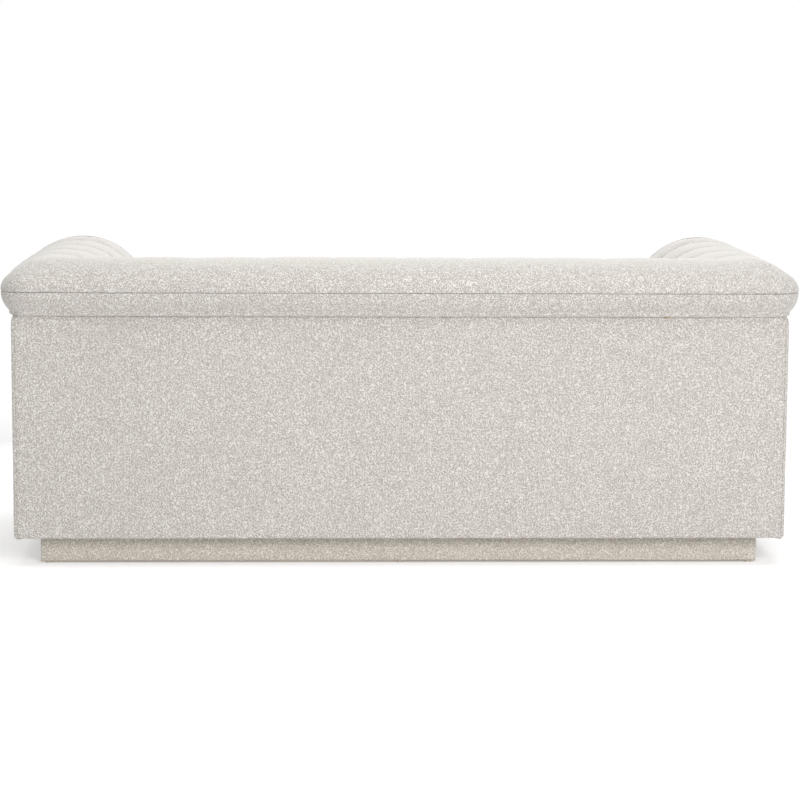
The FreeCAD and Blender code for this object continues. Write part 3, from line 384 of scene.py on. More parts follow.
class Roll:
    """The whole rolled surface: how deep it lies at any place of the arms and the back."""

    def __init__(self, section: Section) -> None:
        """Keep the sizes and the two section lines.

        Args:
            section: the sofa's sizes.
        """
        self.section = section
        self.arm = RollLine(section, 0.0)
        self.back = RollLine(section, BACK_RAKE)
        self.pitch = 2 * section.inside_x / section.back_channels
        self.mitre_half = 0.06
        self.front_share = 0.3
        self.plain_half = 0.09

    def seams_across(self) -> list[float]:
        """Places of the channel seams across the back."""
        count = self.section.back_channels
        return [self.pitch * (step - count / 2) for step in range(count + 1)]

    def meeting(self, line: RollLine, height: float) -> float:
        """Offset of a line's inner half at a height."""
        return line.at(line.find(line.crest, line.length + 0.1, 1, height))[0]

    def limit(self, line: RollLine, other: RollLine, along: float) -> float:
        """Offset at which a line's surface meets the other's in the inner corner."""
        offset, height, across, _ = line.at(along)
        if along > line.crest:
            offset = self.meeting(other, height)
            across = -1.0 if along > line.round_end else across
        return offset - self.mitre_depth(along, line) * min(across, 0.0)

    def mitre_depth(self, along: float, line: RollLine) -> float:
        """Depth of the sewn inner corner, fading out behind the crest."""
        return self.section.channel_depth * ease(along, line.crest + 0.005, line.crest + 0.08)

    def mitre(self, distance: float, along: float, line: RollLine) -> float:
        """Depth beside the inner corner."""
        return valley(distance, self.mitre_half, self.mitre_depth(along, line))

    def arm_depth(self, y: float, along: float, limit: float) -> float:
        """Depth of the arm's surface under its full section."""
        section = self.section
        seams = (section.arm_start_y,) + section.arm_seams
        depth = section.channel_depth
        found = valley(y - seams[-1], self.plain_half, depth)
        for low, high in zip(seams, seams[1:]):
            if low - TINY <= y <= high:
                half = (high - low) / 2
                share = self.front_share if low == section.arm_start_y else 1.0
                found = max(valley(y - low, half, share * depth), valley(high - y, half, depth))
        found *= 0.25 + 0.75 * ease(along, 0.0, 0.03)
        return max(found, self.mitre(limit - y, along, self.arm))

    def back_depth(self, x: float, along: float, limit: float) -> float:
        """Depth of the back's surface under its full section."""
        section = self.section
        place = abs(x)
        near = place % self.pitch
        found = valley(min(near, self.pitch - near), self.pitch / 2, section.channel_depth)
        if place >= section.inside_x:
            found = valley(place - section.inside_x, self.plain_half, section.channel_depth)
        found *= ease(along, self.back.crest + 0.012, self.back.crest + 0.085)
        return max(found, self.mitre(limit - place, along, self.back))

    def tuck(self, along: float) -> float:
        """Depth of the seam at the widest line."""
        return valley(along, 0.010, 0.0024)

    def drawn(self, distance: float, along: float) -> float:
        """Depth to which the cover is drawn in round a rear corner."""
        share = min(along / (self.arm.crest - 0.03), 1.0)
        depth = 0.003 * (1 - share) + 0.005 * math.sin(math.pi * share) ** 2
        return depth * (1 - ease(distance, 0.03, 0.2))

    def arm_point(self, side: Side, y: float, along: float, slack: float = 0.0) -> Point:
        """A point of an arm's surface, held back where it meets the back."""
        offset, z, across, up = self.arm.at(along)
        limit = self.section.panel_y + self.limit(self.arm, self.back, along)
        limit = min(limit, self.section.panel_y - self.section.corner_round)
        y = min(y, limit)
        away = self.section.panel_y - self.section.corner_round - y
        depth = self.arm_depth(y, along, limit) + self.tuck(along) + self.drawn(away, along)
        slack *= self.loose(offset)
        depth += slack * self.free(depth) - WANDER * drift(offset, y, z)
        x = self.section.panel_x + offset - depth * across
        return (side.value * x, y, z - depth * up)

    def back_point(self, x: float, along: float, slack: float = 0.0) -> Point:
        """A point of the back's surface, held back where it meets an arm."""
        offset, z, across, up = self.back.at(along)
        limit = self.section.panel_x + self.limit(self.back, self.arm, along)
        limit = min(limit, self.section.panel_x - self.section.corner_round)
        x = math.copysign(min(abs(x), limit), x)
        away = self.section.panel_x - self.section.corner_round - abs(x)
        depth = self.back_depth(x, along, limit) + self.tuck(along) + self.drawn(away, along)
        slack *= self.loose(offset)
        depth += slack * self.free(depth) - WANDER * drift(x, offset, z)
        return (x, self.section.panel_y + offset - depth * across, z - depth * up)

    def corner_point(self, side: Side, angle: float, along: float) -> Point:
        """A point of a rear corner, turned about its upright axis."""
        section = self.section
        offset, z, across, up = self.arm.at(along)
        depth = self.tuck(along) + self.drawn(0.0, along)
        radius = max(section.corner_round + offset - depth * across, 0.0)
        x = section.panel_x - section.corner_round + radius * math.cos(angle)
        y = section.panel_y - section.corner_round + radius * math.sin(angle)
        return (side.value * x, y, z - depth * up)

    def loose(self, offset: float) -> float:
        """Share of the slack at an offset: none outside the crest."""
        return ease(-offset, self.section.crest_inset - 0.01, self.section.crest_inset + 0.04)

    def free(self, depth: float) -> float:
        """Share of the slack at a place: none where a seam holds the cloth."""
        return 1.0 - min(depth / self.section.channel_depth, 1.0)


def between_seams(seams: Sequence[float], squares: int) -> list[float]:
    """Places from the first seam to the last, closer together beside each seam.

    Args:
        seams: places of the seams.
        squares: squares between two seams.

    Returns:
        The places, the seams among them.
    """
    places = []
    for low, high in zip(seams, seams[1:]):
        for step in range(squares):
            share = step / squares
            bent = 0.5 - 0.5 * math.cos(math.pi * share)
            places.append(low + (high - low) * (0.5 * share + 0.5 * bent))
    return places + [seams[-1]]


def evenly(start: float, end: float, spacing: float) -> list[float]:
    """Places from start to end at about a given spacing."""
    squares = max(round(abs(end - start) / spacing), 1)
    return [start + (end - start) * step / squares for step in range(squares + 1)]


class Route:
    """Plan line round both arms and the back, at any offset from the outside panels."""

    def __init__(self, section: Section, start_y: float, spacing: float, fan: int) -> None:
        """Divide the line.

        Args:
            section: the sofa's sizes.
            start_y: where the line starts and ends on the arms.
            spacing: distance between its points.
            fan: squares round a rear corner.
        """
        self.section = section
        self.start_y = start_y
        self.arm_steps = max(round((section.panel_y - start_y) / spacing), 1)
        self.back_steps = round(2 * section.panel_x / spacing)
        self.fan = fan
        self.columns = 2 * (self.arm_steps + fan) + self.back_steps

    def at(self, column: int, offset: float, radius: float) -> tuple[float, float]:
        """The plan place of a column.

        Args:
            column: number of the point, from the right arm's front.
            offset: distance outward from the outside panels.
            radius: round of the rear corners at this offset.

        Returns:
            Its x and y.
        """
        mirrored = column > self.columns / 2
        step = self.columns - column if mirrored else column
        side_x = self.section.panel_x + offset
        rear_y = self.section.panel_y + offset
        centre_x, centre_y = side_x - radius, rear_y - radius
        if step <= self.arm_steps:
            x, y = side_x, self.start_y + (centre_y - self.start_y) * step / self.arm_steps
        elif step <= self.arm_steps + self.fan:
            angle = QUARTER * (step - self.arm_steps) / self.fan
            x, y = centre_x + radius * math.cos(angle), centre_y + radius * math.sin(angle)
        else:
            share = (step - self.arm_steps - self.fan) / self.back_steps
            x, y = centre_x * (1 - 2 * share), rear_y
        return (-x if mirrored else x), y


# ---- finishes


class Nodes:
    """A short way to add and join the nodes of a material or a group."""

    def __init__(self, tree: bpy.types.NodeTree) -> None:
        """Keep the tree.

        Args:
            tree: the node tree to fill.
        """
        self.tree = tree

    def add(self, kind: str, **inputs: object) -> bpy.types.Node:
        """Add a node.

        Args:
            kind: the node's type without its ShaderNode prefix.
            **inputs: properties in lower case, and inputs by their names.

        Returns:
            The node.
        """
        node = self.tree.nodes.new(f"ShaderNode{kind}")
        for name, value in inputs.items():
            if hasattr(node, name):
                setattr(node, name, value)
                continue
            self.feed(node.inputs[name.replace("_", " ")], value)
        return node

    def feed(self, socket: Socket, value: object) -> None:
        """Link a socket into an input, or set the input's value."""
        if isinstance(value, Socket):
            self.tree.links.new(value, socket)
        else:
            socket.default_value = value

    def math(self, operation: str, *values: object) -> Socket:
        """A math node's result."""
        node = self.tree.nodes.new("ShaderNodeMath")
        node.operation = operation
        for socket, value in zip(node.inputs, values):
            self.feed(socket, value)
        return node.outputs[0]

    def vector(self, operation: str, *values: object, **inputs: object) -> Socket:
        """A vector math node's result."""
        node = self.add("VectorMath", operation=operation, **inputs)
        for socket, value in zip(node.inputs, values):
            self.feed(socket, value)
        return node.outputs["Value" if operation == "LENGTH" else "Vector"]

    def stretch(self, value: object, low: float, high: float) -> Socket:
        """A value mapped smoothly from a range to 0 and 1."""
        node = self.add("MapRange", interpolation_type="SMOOTHSTEP", From_Min=low, From_Max=high)
        self.feed(node.inputs["Value"], value)
        return node.outputs["Result"]

    def blend(self, share: object, first: object, second: object) -> Socket:
        """Two colours mixed."""
        node = self.add("Mix", data_type="RGBA")
        for name, value in (("Factor_Float", share), ("A_Color", first), ("B_Color", second)):
            self.feed(next(item for item in node.inputs if item.identifier == name), value)
        return next(item for item in node.outputs if item.identifier == "Result_Color")


def group_tree(
    name: str, inputs: Sequence[tuple[str, str, float]], outputs: Sequence[str]
) -> bpy.types.NodeTree:
    """An empty shader node group with its sockets.

    Args:
        name: the group's name.
        inputs: name, socket type and default of each input.
        outputs: names of the value outputs.

    Returns:
        The group.
    """
    tree = bpy.data.node_groups.new(name, "ShaderNodeTree")
    for title, kind, default in inputs:
        socket = tree.interface.new_socket(title, in_out="INPUT", socket_type=kind)
        if kind == "NodeSocketFloat":
            socket.default_value = default
    for title in outputs:
        tree.interface.new_socket(title, in_out="OUTPUT", socket_type="NodeSocketFloat")
    return tree


def loop_yarn_group() -> bpy.types.NodeTree:
    """Curled loops of a looped yarn: where a loop lies, and how high it stands."""
    tree = group_tree(
        "LoopYarn",
        [("Vector", "NodeSocketVector", 0.0), ("Curl", "NodeSocketFloat", 830.0),
         ("Tangle", "NodeSocketFloat", 0.020), ("Nubs per metre", "NodeSocketFloat", 330.0)],
        ["Loop", "Height"],
    )
    nodes = Nodes(tree)
    entry = tree.nodes.new("NodeGroupInput")
    leave = tree.nodes.new("NodeGroupOutput")
    vector = entry.outputs["Vector"]
    bend = nodes.add("TexNoise", Vector=vector, Scale=100.0, Detail=1.5)
    away = nodes.vector("SCALE", bend.outputs["Color"], Scale=entry.outputs["Tangle"])
    moved = nodes.vector("ADD", vector, away)
    wound = nodes.vector("SCALE", moved, Scale=entry.outputs["Curl"])
    parts = nodes.add("SeparateXYZ", Vector=wound)
    waves = []
    for first, second in ((0, 1), (1, 2), (2, 0)):
        rise = nodes.math("SINE", parts.outputs[first])
        waves.append(nodes.math("MULTIPLY", rise, nodes.math("COSINE", parts.outputs[second])))
    strand = nodes.stretch(nodes.math("ADD", nodes.math("ADD", waves[0], waves[1]), waves[2]), -1.0, 1.0)
    cells = nodes.add("TexVoronoi", Vector=vector, Scale=entry.outputs["Nubs per metre"], Randomness=0.8)
    nub = nodes.math("SUBTRACT", 1.0, nodes.stretch(cells.outputs["Distance"], 0.08, 0.66))
    heap = nodes.math("MULTIPLY_ADD", strand, 0.72, nodes.math("MULTIPLY", nub, 0.28))
    nodes.feed(leave.inputs["Loop"], nodes.stretch(heap, 0.05, 0.92))
    nodes.feed(leave.inputs["Height"], heap)
    return tree


def mottle_group() -> bpy.types.NodeTree:
    """Slow and fine variation of a surface, each from 0 to 1."""
    tree = group_tree(
        "Mottle",
        [("Vector", "NodeSocketVector", 0.0), ("Patches per metre", "NodeSocketFloat", 5.0),
         ("Specks per metre", "NodeSocketFloat", 400.0)],
        ["Patch", "Speck"],
    )
    nodes = Nodes(tree)
    entry = tree.nodes.new("NodeGroupInput")
    leave = tree.nodes.new("NodeGroupOutput")
    for title, socket in (("Patch", "Patches per metre"), ("Speck", "Specks per metre")):
        vector, scale = entry.outputs["Vector"], entry.outputs[socket]
        noise = nodes.add("TexNoise", Vector=vector, Scale=scale, Detail=3.0)
        nodes.feed(leave.inputs[title], nodes.stretch(noise.outputs[0], 0.3, 0.7))
    return tree


LOOP_YARN = loop_yarn_group()
MOTTLE = mottle_group()


def srgb(red: int, green: int, blue: int) -> tuple[float, float, float, float]:
    """A display colour as linear light."""
    linear = []
    for channel in (red, green, blue):
        share = channel / 255
        linear.append(share / 12.92 if share <= 0.04045 else ((share + 0.055) / 1.055) ** 2.4)
    return (linear[0], linear[1], linear[2], 1.0)


class Finish:
    """A material in the making: its nodes, shader and object coordinates."""

    def __init__(self, name: str) -> None:
        """Start a material.

        Args:
            name: the material's name.
        """
        self.material = bpy.data.materials.new(name)
        self.material.use_nodes = True
        self.nodes = Nodes(self.material.node_tree)
        self.shader = self.material.node_tree.nodes["Principled BSDF"]
        self.place = self.nodes.add("TexCoord").outputs["Object"]

    def group(self, tree: bpy.types.NodeTree, **inputs: object) -> bpy.types.Node:
        """A shared group at the material's coordinates."""
        return self.nodes.add("Group", node_tree=tree, Vector=self.place, **inputs)

    def colour(self, share: Socket, first: object, second: object) -> None:
        """Give the surface two colours mixed by a share."""
        self.feed("Base Color", self.nodes.blend(share, first, second))

    def rough(self, share: Socket, swing: float, base: float) -> None:
        """Give the surface a roughness that swings with a share above its base."""
        self.feed("Roughness", self.nodes.math("MULTIPLY_ADD", share, swing, base))

    def bump(self, height: Socket, strength: float, distance: float) -> None:
        """Give the surface a relief."""
        node = self.nodes.add("Bump", Strength=strength, Distance=distance, Height=height)
        self.feed("Normal", node.outputs[0])

    def feed(self, name: str, value: object) -> None:
        """Link or set one of the shader's inputs."""
        self.nodes.feed(self.shader.inputs[name], value)


@dataclass(frozen=True)
class LoopedYarn:
    """Looped yarn cover: colours of its ground and loops, a lighter tone painted in at grazing view as
    sheen, and how high the loops stand.
    """

    name: str = "looped_cream"
    ground: Colour = (180, 174, 167)
    loop: Colour = (227, 223, 218)
    # Light tone painted in at grazing view: painted sheen on the crest and dome.
    sheen_tip: Colour = (213, 210, 205)
    relief: float = 0.0030

    def build(self) -> bpy.types.Material:
        """The cover's material."""
        finish = Finish(self.name)
        nodes = finish.nodes
        yarn, mottle = finish.group(LOOP_YARN), finish.group(MOTTLE)
        ground = srgb(*self.ground)
        colour = nodes.blend(yarn.outputs["Loop"], ground, srgb(*self.loop))
        colour = nodes.blend(nodes.math("MULTIPLY", mottle.outputs["Patch"], 0.06), colour, ground)
        # Painted sheen: towards grazing view the colour is blended to the light tone and the loop relief
        # is flattened. This is partly real, the loop tips hiding the ground, and partly painted sheen
        # and bleaching of the tops.
        grazing = nodes.add("LayerWeight", Blend=0.5)
        painted_sheen_share = nodes.math("MULTIPLY", nodes.stretch(grazing.outputs["Facing"], 0.3, 0.95), 0.85)
        finish.colour(painted_sheen_share, colour, srgb(*self.sheen_tip))
        finish.rough(mottle.outputs["Speck"], 0.08, 0.88)
        height = nodes.math("MULTIPLY", yarn.outputs["Height"], nodes.math("SUBTRACT", 1.0, painted_sheen_share))
        finish.bump(height, 0.6, self.relief)
        finish.feed("Specular IOR Level", 0.12)
        finish.feed("Sheen Weight", 0.25)
        finish.feed("Sheen Roughness", 0.5)
        return finish.material


@dataclass(frozen=True)
class Grained:
    """Sawn board or ply: colours, and the direction that its grain runs in."""

    name: str
    light: Colour = (205, 176, 134)
    dark: Colour = (164, 128, 86)
    stretch: tuple[float, float, float] = (1.5, 30.0, 30.0)

    def build(self) -> bpy.types.Material:
        """The board's material."""
        finish = Finish(self.name)
        nodes = finish.nodes
        mapping = nodes.add("Mapping", Vector=finish.place, Scale=self.stretch)
        grain = nodes.add("TexNoise", Vector=mapping.outputs[0], Scale=3.0, Detail=5.0, Roughness=0.6)
        streak = nodes.stretch(grain.outputs[0], 0.35, 0.65)
        mottle = finish.group(MOTTLE)
        dark = srgb(*self.dark)
        colour = nodes.blend(streak, dark, srgb(*self.light))
        finish.colour(nodes.math("MULTIPLY", mottle.outputs["Speck"], 0.15), colour, dark)
        finish.rough(streak, 0.15, 0.62)
        finish.bump(streak, 0.4, 0.0006)
        return finish.material


@dataclass(frozen=True)
class Plain:
    """An even finish with a little speckle: metal, plastic, card or foam."""

    name: str
    colour: Colour
    roughness: float
    metal: float = 0.0
    specks: float = 500.0
    relief: float = 0.0003

    def build(self) -> bpy.types.Material:
        """The finish's material."""
        finish = Finish(self.name)
        mottle = finish.group(MOTTLE, Specks_per_metre=self.specks)
        speck = mottle.outputs["Speck"]
        dark = tuple(0.82 * channel for channel in self.colour)
        finish.colour(finish.nodes.math("MULTIPLY", speck, 0.35), srgb(*self.colour), srgb(*dark))
        finish.rough(mottle.outputs["Patch"], 0.12, self.roughness)
        finish.feed("Metallic", self.metal)
        finish.bump(speck, 0.5, self.relief)
        return finish.material


@dataclass(frozen=True)
class Woven:
    """Plain woven cloth: crossing threads at a given count."""

    name: str
    colour: Colour
    threads_per_metre: float = 900.0

    def build(self) -> bpy.types.Material:
        """The cloth's material."""
        finish = Finish(self.name)
        nodes = finish.nodes
        scale = self.threads_per_metre / 20
        threads = [
            nodes.add("TexWave", bands_direction=axis, Vector=finish.place, Scale=scale, Distortion=0.4)
            for axis in ("X", "Y")
        ]
        weave = nodes.math("MULTIPLY", threads[0].outputs["Fac"], threads[1].outputs["Fac"])
        dark = tuple(0.7 * channel for channel in self.colour)
        finish.colour(weave, srgb(*dark), srgb(*self.colour))
        finish.rough(finish.group(MOTTLE).outputs["Patch"], 0.1, 0.82)
        finish.bump(weave, 0.5, 0.0005)
        return finish.material


def dress(
    piece: Piece, material: bpy.types.Material, body: Body = Body.SOFA
) -> None:
    """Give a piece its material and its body.

    Args:
        piece: the finished piece.
        material: its finish.
        body: the body it rides on.
    """
    piece.data.materials.clear()
    piece.data.materials.append(material)
    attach(piece, body.value)
    LOG.info("%s: %d faces", piece.name, len(piece.data.polygons))


# ---- studio


@dataclass
class Studio:
    """Camera at the photograph's place, pale floor, plain lamps and a white surround."""

    position: Point = (0.2140, 6.9754, 1.2886)
    yaw: float = -0.0322
    pitch: float = 0.1298
    roll: float = 0.0049
    focal_pixels: float = 2563.5
    picture: int = 800
    sensor: float = 36.0
    surround: float = 0.57
    floor_lift: float = 0.32
    lamps: tuple[tuple[str, Point, Point, float, float], ...] = (
        ("top_lamp", (0.0, 0.3, 3.4), (0.0, 0.0, 0.4), 3.2, 46.0),
        ("rear_lamp", (-1.2, 5.0, 2.3), (0.0, 0.3, 0.4), 1.8, 121.0),
        ("front_lamp", (-0.8, -4.6, 2.6), (0.0, 0.0, 0.5), 2.6, 80.0),
    )

    def camera(self) -> None:
        """Place the camera and make it the scene's."""
        data = bpy.data.cameras.new("view_from_behind")
        data.sensor_width = self.sensor
        data.lens = self.focal_pixels * self.sensor / self.picture
        data.clip_end = 60.0
        camera = bpy.data.objects.new("view_from_behind", data)
        bpy.context.scene.collection.objects.link(camera)
        forward = Vector((
            math.sin(self.yaw) * math.cos(self.pitch),
            -math.cos(self.yaw) * math.cos(self.pitch),
            -math.sin(self.pitch),
        ))
        right = forward.cross(Vector((0, 0, 1))).normalized()
        up = right.cross(forward)
        turned_right = math.cos(self.roll) * right + math.sin(self.roll) * up
        turned_up = -math.sin(self.roll) * right + math.cos(self.roll) * up
        matrix = Matrix((turned_right, turned_up, -forward)).transposed().to_4x4()
        matrix.translation = Vector(self.position)
        camera.matrix_world = matrix
        bpy.context.scene.camera = camera

    def hang_lamps(self) -> None:
        """Hang the soft lamps."""
        for name, place, aim, width, power in self.lamps:
            data = bpy.data.lights.new(name, "AREA")
            data.shape = "SQUARE"
            data.size = width
            data.energy = power
            lamp = bpy.data.objects.new(name, data)
            lamp.location = place
            direction = Vector(aim) - Vector(place)
            lamp.rotation_euler = direction.to_track_quat("-Z", "Y").to_euler()
            bpy.context.scene.collection.objects.link(lamp)

    def world(self) -> None:
        """A plain surround that the camera sees as white."""
        world = bpy.data.worlds.new("surround")
        bpy.context.scene.world = world
        world.use_nodes = True
        nodes = Nodes(world.node_tree)
        background = world.node_tree.nodes["Background"]
        path = nodes.add("LightPath")
        seen = nodes.math("MAXIMUM", path.outputs["Is Camera Ray"], path.outputs["Is Glossy Ray"])
        seen = nodes.math("MAXIMUM", seen, path.outputs["Is Transmission Ray"])
        strength = nodes.math("MULTIPLY_ADD", seen, 1.0 - self.surround, self.surround)
        nodes.feed(background.inputs["Strength"], strength)
        background.inputs["Color"].default_value = (1.0, 1.0, 1.0, 1.0)

    def floor(self) -> None:
        """A pale floor that keeps the sofa's shadow."""
        select_none()
        bpy.ops.mesh.primitive_plane_add(size=60.0)
        floor = bpy.context.object
        floor.name = "studio_floor"
        paper = Finish("floor_paper")
        nodes = paper.nodes
        paper.feed("Roughness", 1.0)
        paper.feed("Specular IOR Level", 0.0)
        paper.feed("Emission Color", (1.0, 1.0, 1.0, 1.0))
        seen = nodes.add("LightPath").outputs["Is Camera Ray"]
        away = nodes.stretch(nodes.vector("LENGTH", paper.place), 1.6, 3.2)
        far = nodes.math("MULTIPLY", away, seen)
        paper.colour(far, srgb(244, 244, 244), (0.0, 0.0, 0.0, 1.0))
        lift = nodes.math("MULTIPLY", seen, self.floor_lift)
        paper.feed("Emission Strength", nodes.math("MAXIMUM", lift, nodes.math("MULTIPLY", far, 1.02)))
        floor.data.materials.append(paper.material)

    def build(self) -> None:
        """Set up the whole studio."""
        self.camera()
        self.hang_lamps()
        self.world()
        self.floor()
        bpy.context.scene.view_settings.view_transform = "Standard"


# ---- upholstery


def tidy_sheet(piece: Piece, outward: Point) -> None:
    """Merge doubled points, drop empty faces and turn the faces outward.

    Args:
        piece: the open piece.
        outward: direction in which the piece's furthest face looks.
    """
    edit_whole(
        piece,
        lambda: bpy.ops.mesh.remove_doubles(threshold=WELD),
        lambda: bpy.ops.mesh.dissolve_degenerate(threshold=WELD),
        face_outward,
    )
    direction = Vector(outward)
    furthest = max(piece.data.polygons, key=lambda face: face.center.dot(direction) + face.area)
    if furthest.normal.dot(direction) < 0:
        edit_whole(piece, bpy.ops.mesh.flip_normals)


def joined(name: str, pieces: Sequence[Piece]) -> Piece:
    """Join pieces into one.

    Args:
        name: the joined piece's name.
        pieces: what is joined.

    Returns:
        The joined piece.
    """
    select_none()
    for piece in pieces:
        piece.select_set(True)
    bpy.context.view_layer.objects.active = pieces[0]
    bpy.ops.object.join()
    piece = bpy.context.object
    piece.name = name
    piece.data.name = name
    return piece


def backed(piece: Piece, thickness: float, levels: int = 1) -> None:
    """Round a piece, give it thickness on its inner side, and shade it smooth.

    Args:
        piece: the open piece.
        thickness: how thick it becomes.
        levels: how often it is subdivided first.
    """
    smoothed(piece, levels)
    modifier = piece.modifiers.new("thickness", "SOLIDIFY")
    modifier.thickness = thickness
    modifier.offset = -1.0
    modifier.use_even_offset = False
    apply_modifiers(piece)


def laid_cloth(
    name: str, columns: int, rows: int, place: Place, outward: Point, thickness: float, levels: int = 1
) -> Piece:
    """Lay a grid, turn it outward, round it and back it.

    Args:
        name, columns, rows, place: as for laid_grid.
        outward: direction in which its furthest face looks.
        thickness, levels: as for backed.

    Returns:
        The finished piece.
    """
    piece = laid_grid(name, columns, rows, place)
    tidy_sheet(piece, outward)
    backed(piece, thickness, levels)
    return piece


@dataclass
class ChannelledRoll:
    """The channelled padding of both arms and the back, with its plain rear and corners."""

    section: Section
    cover: bpy.types.Material
    cloth: Cloth = Cloth(pressure=3.0, spare=0.025, cap=0.006)
    slack: float = 0.003
    pinch: float = 0.004
    still: float = 0.085
    outer_share: float = 0.25
    thickness: float = 0.004
    squares: int = 12
    spacing: float = 0.016
    fan: int = 12

    def __post_init__(self) -> None:
        """Work out the rows that all pieces share."""
        self.roll = Roll(self.section)
        arm = self.roll.arm
        self.turn = arm.find(0.0, arm.crest, 0, -self.section.corner_round)
        self.first_rows = [0.0, 0.002, 0.006, 0.012] + evenly(0.02, self.turn, 0.012)

    def rows(self, line: RollLine) -> list[float]:
        """Row places along one section line."""
        return self.first_rows[:-1] + evenly(self.turn, line.length, self.spacing)

    def settle(self, piece: Piece, sewn: Callable[[Vector], bool]) -> None:
        """Merge, swell, round and thicken a piece.

        Args:
            piece: the laid grid or grids.
            sewn: whether a point is held by a seam.
        """
        tidy_sheet(piece, UP)
        seam = [vertex.index for vertex in piece.data.vertices if sewn(vertex.co)]
        held = {vertex.index for vertex in piece.data.vertices if self.cornered(vertex.co)}
        held.update(seam)
        uses: dict[tuple[int, int], int] = {}
        for face in piece.data.polygons:
            for edge in face.edge_keys:
                uses[edge] = uses.get(edge, 0) + 1
        for edge, count in uses.items():
            if count == 1:
                held.update(edge)
        self.cloth.swell(piece, held, self.kept)
        vertices = piece.data.vertices
        normals = {number: vertices[number].normal.copy() for number in seam}
        for number, normal in normals.items():
            vertices[number].co -= normal * self.pinch
        backed(piece, self.thickness)

    def kept(self, point: Vector) -> float:
        """Share of the swelling that stays: less on the plain outer side than inside the crest."""
        section = self.section
        inward = min(section.panel_x - abs(point.x), section.panel_y - point.y)
        inside = ease(inward, section.crest_inset, section.crest_inset + 0.06)
        return self.outer_share + (1 - self.outer_share) * inside

    def cornered(self, point: Vector) -> bool:
        """Whether a point lies on the plain outer part of a rear corner."""
        section = self.section
        x_off, y_off = section.panel_x - abs(point.x), section.panel_y - point.y
        return max(x_off, y_off) < self.still

    def arm(self, side: Side) -> None:
        """Build one arm's padding.

        Args:
            side: which arm.
        """
        section, roll = self.section, self.roll
        seams = (section.arm_start_y,) + section.arm_seams
        stations = between_seams(seams, self.squares)
        stations += evenly(seams[-1], section.panel_y - section.corner_round, self.spacing)[1:]
        rows = self.rows(roll.arm)

        def place(column: int, row: int) -> Point:
            return roll.arm_point(side, stations[column], rows[row], self.slack)

        piece = laid_grid(f"{side.word}_arm_channels", len(stations) - 1, len(rows) - 1, place)

        def sewn(point: Vector) -> bool:
            return any(abs(point.y - seam) < SEAM_REACH for seam in seams)

        self.settle(piece, sewn)
        dress(piece, self.cover)
        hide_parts(f"{side.word}_arm_channel_pads")

    def back(self) -> None:
        """Build the back's padding with the plain rear roll and both rear corners."""
        section, roll = self.section, self.roll
        turn_x = section.panel_x - section.corner_round
        stations = evenly(-turn_x, -section.inside_x, self.spacing)[:-1]
        stations += between_seams(roll.seams_across(), self.squares)
        stations += evenly(section.inside_x, turn_x, self.spacing)[1:]
        rows = self.rows(roll.back)

        def place(column: int, row: int) -> Point:
            return roll.back_point(stations[column], rows[row], self.slack)

        flat = laid_grid("back_channels", len(stations) - 1, len(rows) - 1, place)
        corners = []
        for side in Side:
            def fan_place(column: int, row: int, side: Side = side) -> Point:
                angle = QUARTER * column / self.fan
                return roll.corner_point(side, angle, self.first_rows[row])

            corners.append(laid_grid("corner", self.fan, len(self.first_rows) - 1, fan_place))
        piece = joined("back_channels", [flat] + corners)

        def sewn(point: Vector) -> bool:
            behind = point.y > section.panel_y - section.crest_inset + 0.01
            return not behind and any(abs(point.x - seam) < SEAM_REACH for seam in roll.seams_across())

        self.settle(piece, sewn)
        dress(piece, self.cover)
        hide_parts("back_channel_pads", "back_roll_pad", "rear_corner_pads")

    def build(self) -> None:
        """Build all three pieces."""
        for side in Side:
            self.arm(side)
        self.back()


@dataclass
class LowerBand:
    """The plain padded band under the roll, with its rolled lower lip."""

    section: Section
    cover: bpy.types.Material
    thickness: float = 0.004
    spacing: float = 0.022
    round_radius: float = 0.0729
    round_steps: int = 8
    bulge: float = 0.0004
    lip: float = 0.004
    drawn: float = 0.004
    turned_in: tuple[tuple[float, float], ...] = (
        (-0.002, 0.004), (0.0, -0.0005), (0.003, -0.0016), (0.0085, 0.0)
    )
    bead: tuple[tuple[float, float], ...] = ((0.0080, 0.0028), (0.0084, 0.0056), (0.0064, 0.0086))

    def profile(self) -> list[tuple[float, float]]:
        """Offset and height of the band's rows, from inside the lip to the seam above."""
        low, wide, overhang = self.section.seam_z, self.section.wide_z, self.section.overhang
        rows = [(offset, low + rise) for offset, rise in self.turned_in]
        rows += [(self.lip + offset, low + rise) for offset, rise in self.bead]
        for step in range(1, self.round_steps + 1):
            height = low + 0.0115 + (wide - low - 0.0145) * step / self.round_steps
            across = math.sqrt(max(self.round_radius**2 - (wide - height) ** 2, 0.0))
            bulge = self.bulge * math.sin(math.pi * step / (self.round_steps + 0.5))
            rows.append((overhang - self.round_radius + across + bulge, height))
        return rows + [(overhang - 0.0015, wide - 0.0012), (overhang - 0.007, wide)]

    def build(self) -> None:
        """Build the band round arms and back."""
        section = self.section
        rows = self.profile()
        route = Route(section, section.arm_start_y, self.spacing, 12)

        def place(column: int, row: int) -> Point:
            offset, height = rows[row]
            x, y = route.at(column, offset, section.corner_round + offset)
            away = max(section.panel_x - abs(x), section.panel_y - y)
            offset -= self.drawn * (1 - ease(away, 0.06, 0.22)) * min(row / 4, 1.0)
            x, y = route.at(column, offset, section.corner_round + offset)
            wander = WANDER * drift(x, y, height) * math.sin(math.pi * row / (len(rows) - 1))
            return (x, y, height + wander)

        size = (route.columns, len(rows) - 1)
        piece = laid_cloth("lower_band", *size, place, BACKWARD, self.thickness)
        dress(piece, self.cover)
        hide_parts("back_lower_band", "left_lower_band", "right_lower_band")


